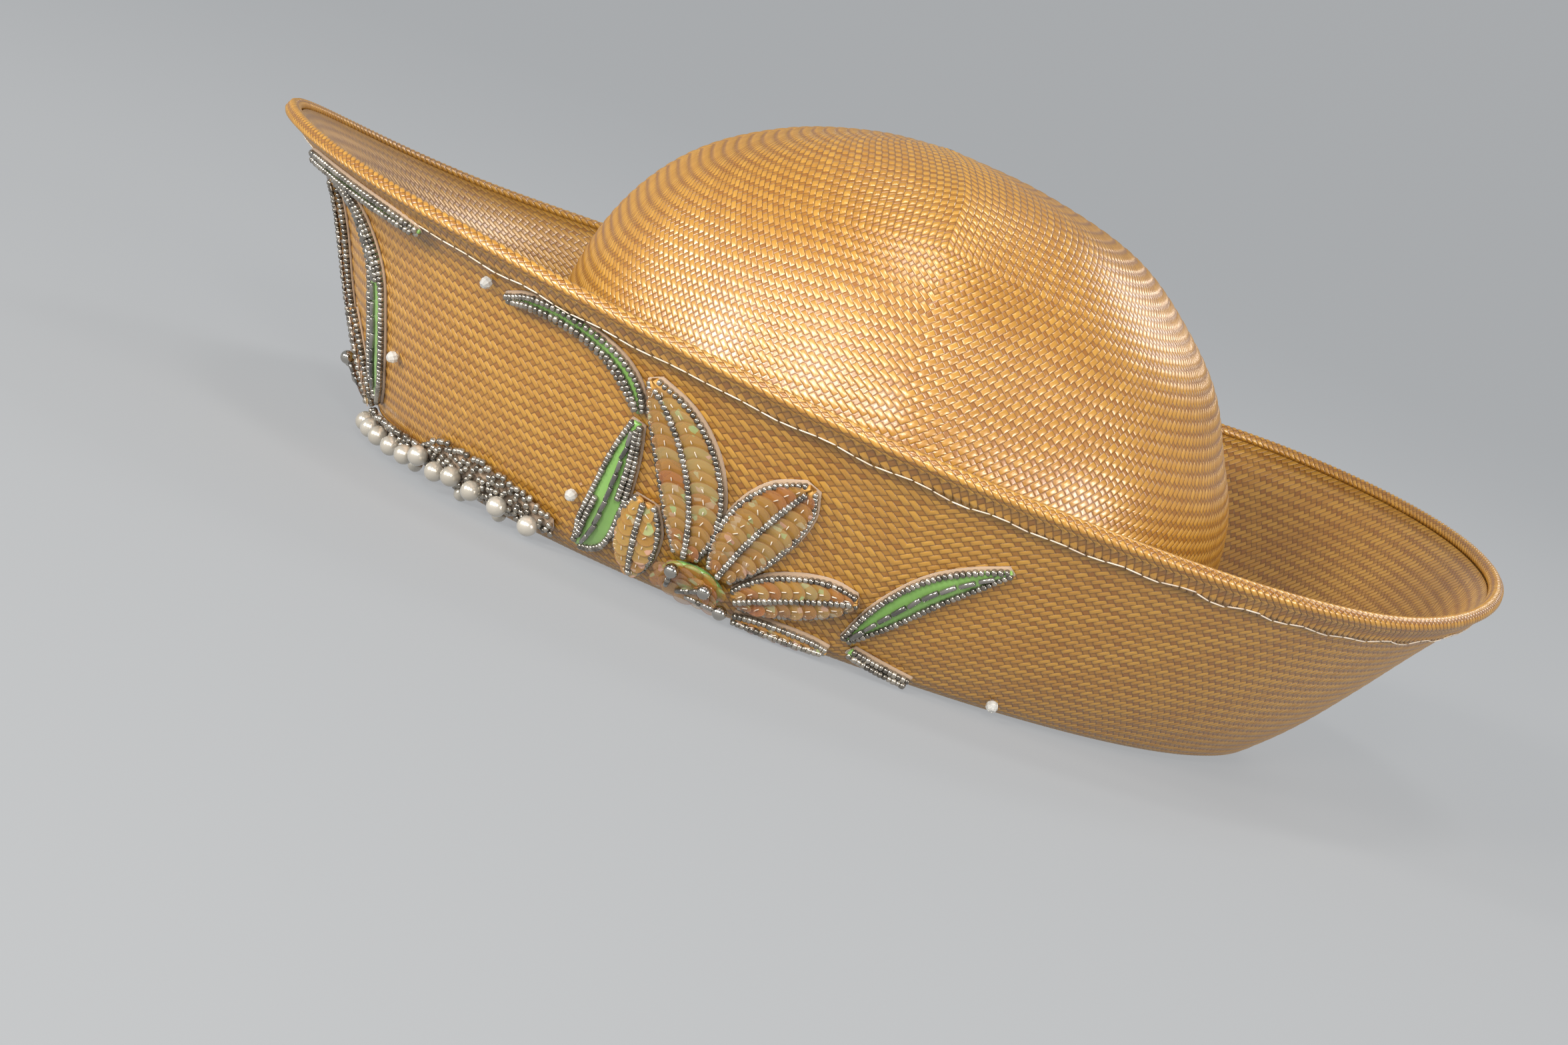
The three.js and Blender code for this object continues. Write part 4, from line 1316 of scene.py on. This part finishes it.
def lobe_sequins(spine, side, mirrored):
    """One column of sequins down a lobe of a petal, with a stitch in each."""
    share = np.linspace(0.02, 0.95, 300)
    line = strip_places(spine, share, np.full(300, side))
    length = running_length(line)
    count = max(int(length[-1] / SEQUIN_PITCH), 2)
    at = (np.arange(count) + 0.5) / count * length[-1]
    places = np.column_stack([np.interp(at, length, line[:, axis]) for axis in range(2)])
    ahead = np.column_stack([np.interp(at + 0.6, length, line[:, axis]) for axis in range(2)])
    along = ahead - np.column_stack([np.interp(at - 0.6, length, line[:, axis]) for axis in range(2)])
    along /= np.linalg.norm(along, axis=1, keepdims=True)
    widths = spline(spine, np.interp(at, length, share), centripetal=True)[:, 2]
    lengthwise = np.minimum(widths * 0.3 + 0.8, SEQUIN_REACH)
    reaches = np.column_stack([lengthwise, np.maximum(widths * 0.25, 0.9)])
    lifts = np.full(count, TRIM_LIFT + 1.85)
    discs = lay_sequins(places, along, reaches, lifts, mirrored)
    stitches = sew_stitches(places + along * 0.9, along, lifts + 0.5, mirrored)
    return discs, stitches


# %% [markdown]
# ## Leaves, throat and stamens
#
# The leaves are narrow strips of green satin with beads sewn round them and long bugle beads along
# the midrib, so that only slips of satin show. The throat is a small amber pad with a green edge,
# under loose sequins. Each stamen is a string of bugle beads that stands off it and ends in a silver
# bead.

# %% Bead rows of petals and leaves
BUGLE_SIZE = (2.3, 0.72)
BUGLE_PITCH = 5.1
leaf_line = np.linspace(0.95, -0.95, 9)
LEAF_SIDES = np.concatenate([[-1, 1], leaf_line])
LEAF_LIFTS = TRIM_LIFT + np.concatenate([[0, 0], 1.2 - 0.6 * leaf_line**2])
LINE_POINTS = 80


def edge_line(spine, side, lift, start=0.0, stop=1.0):
    """A line of pattern rows along a strip."""
    share = np.linspace(start, stop, LINE_POINTS)
    places = strip_places(spine, share, side)
    return np.column_stack([places, np.full(LINE_POINTS, lift)])


def seed_row(spine, side, lift, mirrored, start=0.0, stop=1.0):
    """A row of seed beads along a strip."""
    line = edge_line(spine, side, lift, start, stop)
    return string_beads(SEED_SHAPE, line, SEED_PITCH, SEED_SIZE, mirrored)


def petal_bead_rows(spine, mirrored):
    """Seed beads round a petal and along its groove."""
    return [
        seed_row(spine, 1.0, TRIM_LIFT + 0.95, mirrored),
        seed_row(spine, -1.0, TRIM_LIFT + 0.95, mirrored),
        seed_row(spine, 0.0, TRIM_LIFT + 2.1, mirrored, 0.0, 0.97),
    ]


def leaf_bead_rows(name, spine, mirrored, stand_off):
    """Seed beads round a leaf, with a second row where it is wide, and bugle beads down its middle."""
    seeds = [seed_row(spine, side, stand_off + 0.95, mirrored) for side in (1.0, -1.0)]
    if name in ("leaf_top", "stem"):
        seeds.append(seed_row(spine, 0.0, stand_off + 2.0, mirrored, 0.06, 0.97))
    if name == "leaf_foot":
        seeds.append(seed_row(spine, 0.62, stand_off + 1.6, mirrored, 0.03, 0.45))
        seeds.append(seed_row(spine, -0.62, stand_off + 1.6, mirrored, 0.5, 0.9))
    bugles = []
    if name in ("leaf_foot", "leaf_back"):
        middle = edge_line(spine, 0.0, stand_off + 1.75, 0.04, 0.92)
        bugles.append(string_beads(BUGLE_SHAPE, middle, BUGLE_PITCH, BUGLE_SIZE, mirrored, 0.05))
    return seeds, bugles


print(f"a leaf is {LEAF_LIFTS.max():.2f} mm high along its midrib, above the straw")

# %% Throat and stamens
THROAT = dict(around=186, up=19.5, half_length=10, half_width=7)
STAMENS = [((179.5, 18), (181, 25.5)), ((183, 17.5), (191.5, 23.5)), ((186, 17), (197.5, 18.5))]
STALK_RADIUS = 0.75
STALK_LIFTS = (3.5, 5.0)
STALK_BEAD_SPACE = 1.4  # room for the seed bead of a stalk
STALK_BEAD_RADIUS = 0.95
STAMEN_BEAD_RADIUS = 2.0
# Size and height of the rings of the pad: its green edge, then the amber cloth inside that
THROAT_EDGE = [(0.02, 0), (1, 0), (0.98, 0.9), (0.9, 1.4)]
THROAT_MIDDLE = [(0.9, 1.4), (0.75, 1.85), (0.5, 2.1), (0.02, 2.15)]
# Places of the loose sequins, from the middle of the throat
THROAT_SEQUINS = [
    (8.4, 2.6), (5.0, 5.0), (0.2, 6.0), (-4.8, 5.2), (-8.2, 2.6), (-8.8, -1.4),
    (-7.2, 1.0), (-5.0, 3.6), (-4.6, -2.6), (-6.0, -1.0), (-1.6, 4.6), (-1.0, 0.6), (-2.6, 2.4),
    (-0.4, -3.4), (3.0, 3.4), (3.4, -2.2), (1.2, -1.2), (6.0, 3.0), (6.6, 0.6), (7.4, -2.0),
    (4.4, 0.8),
]


def throat_pad(outline, mirrored):
    """Part of the oval pad of a throat, as rings of the given sizes and heights."""
    sides = 28
    angle = np.arange(sides) / sides * 2 * np.pi
    rings = []
    for size, lift in outline:
        around = THROAT["around"] + size * THROAT["half_length"] * np.cos(angle)
        up = THROAT["up"] + size * THROAT["half_width"] * np.sin(angle)
        rings.append(np.column_stack([around, up, np.full(sides, TRIM_LIFT + lift)]))
    points, _ = on_brim(np.concatenate(rings), mirrored)
    bands = [ring_bands(row * sides, (row + 1) * sides, sides) for row in range(len(outline) - 1)]
    faces = np.concatenate([split(band) for band in bands])
    if mirrored:
        faces = faces[:, ::-1]
    return points, faces, np.linspace(0, 1, len(faces))


def throat_sequins(mirrored):
    """Loose sequins over the throat, that point away from its middle."""
    offsets = np.array(THROAT_SEQUINS)
    places = offsets + [THROAT["around"], THROAT["up"]]
    along = offsets + [0, 4.0]
    along = along / np.linalg.norm(along, axis=1, keepdims=True)
    lifts = TRIM_LIFT + 1.9 + 0.08 * np.arange(len(places))
    return lay_sequins(places, along, np.full((len(places), 2), 3.2), lifts, mirrored)


def stamen_parts(foot, bead, mirrored):
    """The stalk of a stamen as two bugle beads with a seed bead between, and its silver bead."""
    ends, normals = on_brim([(*foot, STALK_LIFTS[0]), (*bead, STALK_LIFTS[1])], mirrored)
    reach = ends[1] - ends[0]
    length = np.linalg.norm(reach)
    frame = frames_along(np.array([reach]), normals[:1])
    stalk_length = length - STAMEN_BEAD_RADIUS
    half = (stalk_length - STALK_BEAD_SPACE) / 4
    places = np.array([[half], [3 * half + STALK_BEAD_SPACE]])
    centres = ends[0] + (reach / length) * places
    sizes = np.tile([half, STALK_RADIUS, STALK_RADIUS], (2, 1))
    stalk = repeat_shape(BUGLE_SHAPE, centres, np.repeat(frame, 2, axis=0), sizes)
    between = ends[:1] + (reach / length) * (2 * half + STALK_BEAD_SPACE / 2)
    knot = repeat_shape(SEED_SHAPE, between, frame, np.full((1, 3), STALK_BEAD_RADIUS))
    ball = turned_shape(round_profile(11), 22)
    silver = repeat_shape(ball, ends[1:], frame, np.full((1, 3), STAMEN_BEAD_RADIUS))
    return [(bugle_glass, stalk), (seed_glass, knot), (polished, silver)]


print("a throat has", len(THROAT_SEQUINS), "loose sequins and", len(STAMENS), "stamens")

# %% [markdown]
# ## Making the lilies
#
# Each petal, leaf, throat and stamen is dressed on its own, so that it can be swapped on its own.
# The seed and bugle beads of one lily are gathered into one more piece. The side lily is made from
# the pattern as drawn, and the front lily from its mirror image with its own two leaves.

# %% Making the lilies
# The low petal lies close above the floor, so its dressing is a little narrower and higher
LOW_PETAL_SCALE = (1, 1, 0.76)
LOW_PETAL_SHIFT = (0, 0.8, 0)


PETAL_BACKING = 2.4  # how much wider the felt is than the petal
LEAF_BACKING = 1.9
LEAF_ROWS = 24


def dress_petal(lily, name, sizes, mirrored):
    """One petal of a lily. Returns the beads sewn to it."""
    spine = petal_spine(**sizes)
    if name == "petal_low":
        spine = spine * LOW_PETAL_SCALE + LOW_PETAL_SHIFT
    padding = skin_strip(spine, PETAL_SIDES, PETAL_LIFTS, PETAL_ROWS, mirrored)
    backing = skin_strip(spine, BACKING_SIDES, BACKING_LIFTS, PETAL_ROWS, mirrored, widen=PETAL_BACKING)
    parts = [(petal_cloth, padding), (felt, backing)]
    for side in (0.5, -0.5):
        discs, stitches = lobe_sequins(spine, side, mirrored)
        parts += [(sequin, discs), (thread, stitches)]
    make_trim(f"{lily}_{name}_sewn", parts, [f"{lily}_{name}"])
    return [(seed_glass, row) for row in petal_bead_rows(spine, mirrored)]


def dress_leaf(lily, name, spine, mirrored):
    """One leaf or stem of a lily. Returns the beads sewn to it."""
    own = FRONT_LEAVES.get(name) if mirrored else None
    flip = mirrored and own is None
    spine = np.array(own or spine, float)
    raised = HEM_RAISE if mirrored and name == "leaf_top" else 0.0
    leaf = skin_strip(spine, LEAF_SIDES, LEAF_LIFTS + raised, LEAF_ROWS, flip)
    backing = skin_strip(spine, BACKING_SIDES, BACKING_LIFTS + raised, LEAF_ROWS, flip, widen=LEAF_BACKING)
    make_trim(f"{lily}_{name}_sewn", [(satin, leaf), (felt, backing)], [f"{lily}_{name}"])
    seeds, bugles = leaf_bead_rows(name, spine, flip, TRIM_LIFT + raised)
    return [(seed_glass, row) for row in seeds] + [(bugle_glass, row) for row in bugles]


def make_lily(lily, mirrored):
    """Petals, leaves, throat and stamens of one lily, and all its small beads."""
    beads = []
    for name, sizes in PETALS.items():
        beads += dress_petal(lily, name, sizes, mirrored)
    for name, spine in LEAVES.items():
        beads += dress_leaf(lily, name, spine, mirrored)
    edge = throat_pad(THROAT_EDGE, mirrored)
    middle = throat_pad(THROAT_MIDDLE, mirrored)
    throat = [(satin, edge), (petal_cloth, middle), (sequin, throat_sequins(mirrored))]
    make_trim(f"{lily}_throat_sewn", throat, [f"{lily}_throat"])
    for number, (foot, bead) in enumerate(STAMENS, start=1):
        stamen = stamen_parts(foot, bead, mirrored)
        make_trim(f"{lily}_stamen_{number}_strung", stamen, [f"{lily}_stamen_{number}"])
    make_trim(f"{lily}_small_beads", beads)


make_lily("side_lily", False)
make_lily("front_lily", True)

# %% [markdown]
# ## Pearl spray
#
# Between the lilies the pearls sit in a crust of seed beads sewn at all angles. The crust is
# scattered over the band with even spacing and left open where a pearl sits. A few smaller pearls
# hang below, and single crystals dot the straw.

# %% Pearl band
BAND = np.array([
    [27, 17, 2.5],
    [49, 16.8, 3.6],
    [66, 17, 4.2],
    [79, 17.2, 4.6],
    [91, 18.5, 9.5],
    [105, 19, 10.5],
    [123, 18.5, 8.6],
    [138, 16.5, 4.4],
])
BAND_LIFT = TRIM_LIFT + 1.4
PEARL_RADIUS = 2.8
PEARLS = [
    (29, 17), (38, 16.8), (49, 16.8), (61, 16.8), (72, 17.2), (83, 20),
    (91, 18), (100, 19.5), (109, 18.5), (120, 18), (132, 16.8),
]
SMALL_PEARL_RADIUS = 2.1
SMALL_PEARLS = [(66, 11), (96, 11.2), (115, 11.6), (127, 11.8)]
SPOT_RADIUS = 1.7
SPOT_BEADS = [(118, 82), (70, 43), (146, 31), (280, 20)]
BAND_ROWS = 60
CRUST_TRIES = 9000
CRUST_SPACING = 1.75
CRUST_SIDES = (-1.1, 1.5)  # how far the crust reaches across the band, below and above
CRUST_FLOOR = 12.5  # no bead of the crust lies lower on the pattern
PEARL_CLEARING = 0.7 * PEARL_RADIUS
CRUST_DOME = 0.6
CRUST_LEAN = 0.35


def scatter_crust():
    """Pattern rows for the beads of the crust, none closer than the spacing."""
    kept = []
    for _ in range(CRUST_TRIES):
        share, side = rng.random(), rng.uniform(*CRUST_SIDES)
        around, up = strip_places(BAND, [share], [side])[0]
        if up < CRUST_FLOOR:
            continue
        if any(hypot(around - a, up - u) < PEARL_CLEARING for a, u in PEARLS):
            continue
        if any(hypot(around - a, up - u) < CRUST_SPACING for a, u, _ in kept):
            continue
        dome = CRUST_DOME * (1 - min(abs(side), 1) ** 2)
        kept.append((around, up, TRIM_LIFT + 0.9 + dome + rng.uniform(0, 0.9)))
    return np.array(kept)


def crust_part():
    """The beads of the crust, turned every way."""
    rows = scatter_crust()
    centres, normals = on_brim(rows)
    tangents = np.cross(normals, rng.normal(0, 1, normals.shape))
    frames = frames_along(tangents + CRUST_LEAN * normals, normals)
    return repeat_shape(SEED_SHAPE, centres, frames, np.full((len(rows), 3), SEED_RADIUS))


band_pad = skin_strip(BAND, LEAF_SIDES, LEAF_LIFTS, BAND_ROWS, False)
band_parts = [(felt, band_pad), (seed_glass, crust_part())]
make_trim("pearl_band_sewn", band_parts, ["pearl_band"])


# %% Pearls
BALL_SHAPE = turned_shape(round_profile(15), 30)
PEARL_SEAT = 0.3  # a pearl stands this far off the band or the straw
PEARL_AXIS = [[0.3, 0.2, 1]]


def make_ball(name, place, radius, lift):
    """A pearl that sits on the band or on the straw."""
    centre, normal = on_brim([(*place, lift + radius)])
    frame = frames_along(np.cross(normal, PEARL_AXIS), normal)
    ball = repeat_shape(BALL_SHAPE, centre, frame, np.full((1, 3), radius))
    return make_trim(f"{name}_ball", [(pearl, ball)], [name])


for number, place in enumerate(PEARLS, start=1):
    make_ball(f"pearl_{number}", place, PEARL_RADIUS, BAND_LIFT + PEARL_SEAT)
for number, place in enumerate(SMALL_PEARLS, start=1):
    make_ball(f"small_pearl_{number}", place, SMALL_PEARL_RADIUS, PEARL_SEAT)


# %% Crystals
CRYSTAL_PROFILE = [(-0.95, 0.35), (-0.45, 0.9), (0.2, 1.0), (0.75, 0.7), (0.95, 0.45)]
CRYSTAL_SHAPE = turned_shape(CRYSTAL_PROFILE, 9)


def make_crystal(name, place):
    """A faceted bead: a low turned shape with flat faces."""
    centre, normal = on_brim([(*place, PEARL_SEAT + SPOT_RADIUS)])
    frame = frames_along(normal, np.cross(normal, PEARL_AXIS))
    part = repeat_shape(CRYSTAL_SHAPE, centre, frame, np.full((1, 3), SPOT_RADIUS))
    return make_trim(f"{name}_cut", [(crystal, part)], [name], smooth=False)


for number, place in enumerate(SPOT_BEADS, start=1):
    make_crystal(f"spot_bead_{number}", place)

# %% [markdown]
# ## Camera
#
# The picture shows the hat from its left side, a little from above and with its front raised. The
# hat here stands level, so the camera is rolled instead. Angles, distance and lens were fitted until
# the rim and the crown fell in the same places as in the picture.

# %% Camera
CAMERA_TILT = np.radians(7.5)
CAMERA_YAW = np.radians(-1.0)
CAMERA_ROLL = np.radians(20.43)
CAMERA_DISTANCE = 1050
CAMERA_AIM = (0, -12.67, 15.2)
CAMERA_LENS = 83.3
SENSOR_WIDTH = 36
CLIP_NEAR, CLIP_FAR = 0.05, 50

camera = bpy.data.objects.new("camera", bpy.data.cameras.new("camera"))
bpy.context.scene.collection.objects.link(camera)
bpy.context.scene.camera = camera
towards = Vector((np.cos(CAMERA_YAW), np.sin(CAMERA_YAW), 0))
back = towards * np.cos(CAMERA_TILT) + Vector((0, 0, np.sin(CAMERA_TILT)))
level = Vector((-np.sin(CAMERA_YAW), np.cos(CAMERA_YAW), 0))
upright = back.cross(level)
right = level * np.cos(CAMERA_ROLL) + upright * np.sin(CAMERA_ROLL)
up = upright * np.cos(CAMERA_ROLL) - level * np.sin(CAMERA_ROLL)
camera.matrix_world = Matrix((right, up, back)).transposed().to_4x4()
camera.location = (Vector(CAMERA_AIM) + back * CAMERA_DISTANCE) * MM
camera.data.lens = CAMERA_LENS
camera.data.sensor_width = SENSOR_WIDTH
camera.data.clip_start = CLIP_NEAR
camera.data.clip_end = CLIP_FAR
print("camera at", [round(value, 3) for value in camera.location], "m")

# %% [markdown]
# ## Lights
#
# Straw shines like satin, so it needs lamps that it can mirror. Five soft square lamps stand round
# the hat, all well above the floor so that none leaves a bright pool on it. A small one near the
# camera makes the beads and sequins sparkle. A weak grey surround fills the rest.

# %% Lights
WARM, PALE = (1, 0.97, 0.92), (1, 0.98, 0.95)
# Place, aim, side, power and colour, in metres and watts
LIGHTS = {
    "key": ((1.3, -0.75, 0.6), (0, -0.02, 0.06), 0.45, 19, WARM),
    "side": ((0.7, -1.6, 0.5), (0.05, -0.1, 0.05), 0.4, 26, WARM),
    "fill": ((1.1, 1.4, 0.45), (0.05, 0.1, 0.04), 0.4, 19, (1, 0.97, 0.93)),
    "back": ((-0.9, 0.9, 1.1), (0, 0.05, 0.09), 0.5, 7, PALE),
    "top": ((0.4, -0.1, 1.6), (0, 0, 0.08), 0.4, 9, PALE),
    "flash": ((1.25, 0.0, 0.5), (0, 0, 0.06), 0.14, 8, PALE),
}
SURROUND_COLOUR = (0.78, 0.8, 0.83, 1)
SURROUND_STRENGTH = 0.25


def soft_light(name, place, target, size, power, colour):
    """A square area light that faces a point."""
    data = bpy.data.lights.new(name, "AREA")
    data.shape = "RECTANGLE"
    data.size = size
    data.size_y = size
    data.energy = power
    data.color = colour
    light = bpy.data.objects.new(name, data)
    bpy.context.scene.collection.objects.link(light)
    light.location = place
    light.rotation_euler = (Vector(target) - Vector(place)).to_track_quat("-Z", "Y").to_euler()


for light_name, values in LIGHTS.items():
    soft_light(light_name, *values)
world = bpy.data.worlds.new("surround")
bpy.context.scene.world = world
world.use_nodes = True
surround = world.node_tree.nodes["Background"]
surround.inputs["Color"].default_value = SURROUND_COLOUR
surround.inputs["Strength"].default_value = SURROUND_STRENGTH
print(len(LIGHTS), "lights")

# %% [markdown]
# ## Backdrop
#
# A plain background lets the straw and the trim show. It is a round grey cove, floor and wall in
# one sweep, so that it looks alike from every side. It glows a little by itself, which keeps it even.

# %% Backdrop
COVE_RADIUS = 4.0
COVE_FILLET = 1.5
COVE_HEIGHT = 6.0
COVE_SIDES = 96
COVE_STEPS = 12
PAPER_COLOUR = (0.06, 0.0608, 0.062)
PAPER_ROUGHNESS = 0.9
PAPER_GLOW_COLOUR = (0.94, 0.97, 1.0, 1)
PAPER_GLOW = 0.37


def cove_mesh_data():
    """Points in metres and faces of the cove: a disc and rings that sweep up into a wall."""
    flat = COVE_RADIUS - COVE_FILLET
    profile = [(flat, 0.0)]
    for angle in np.linspace(-np.pi / 2, 0, COVE_STEPS + 1)[1:]:
        profile.append((flat + COVE_FILLET * np.cos(angle), COVE_FILLET * (1 + np.sin(angle))))
    profile.append((COVE_RADIUS, COVE_HEIGHT))
    turn = np.arange(COVE_SIDES) / COVE_SIDES * 2 * np.pi
    points = [(0, 0, 0)]
    for radius, height in profile:
        points += [(radius * np.cos(angle), radius * np.sin(angle), height) for angle in turn]
    step = np.arange(COVE_SIDES)
    disc = np.stack([np.zeros_like(step), 1 + step, 1 + (step + 1) % COVE_SIDES], axis=1)
    faces = disc.tolist()
    for ring in range(len(profile) - 1):
        low = 1 + ring * COVE_SIDES
        bands = ring_bands(low, low + COVE_SIDES, COVE_SIDES)
        faces += bands[:, [0, 3, 2, 1]].tolist()
    return points, faces


cove_points, cove_faces = cove_mesh_data()
cove_mesh = bpy.data.meshes.new("backdrop")
cove_mesh.from_pydata(cove_points, [], cove_faces)
paper, _, paper_shader = new_material(
    "backdrop paper", PAPER_COLOUR, PAPER_ROUGHNESS, Emission_Strength=PAPER_GLOW
)
paper_shader.inputs["Emission Color"].default_value = PAPER_GLOW_COLOUR
cove_mesh.materials.append(paper)
cove_mesh.polygons.foreach_set("use_smooth", np.full(len(cove_mesh.polygons), True))
backdrop = bpy.data.objects.new("backdrop", cove_mesh)
bpy.context.scene.collection.objects.link(backdrop)
bpy.context.scene.view_settings.view_transform = "Standard"
print("backdrop with", len(cove_faces), "faces")
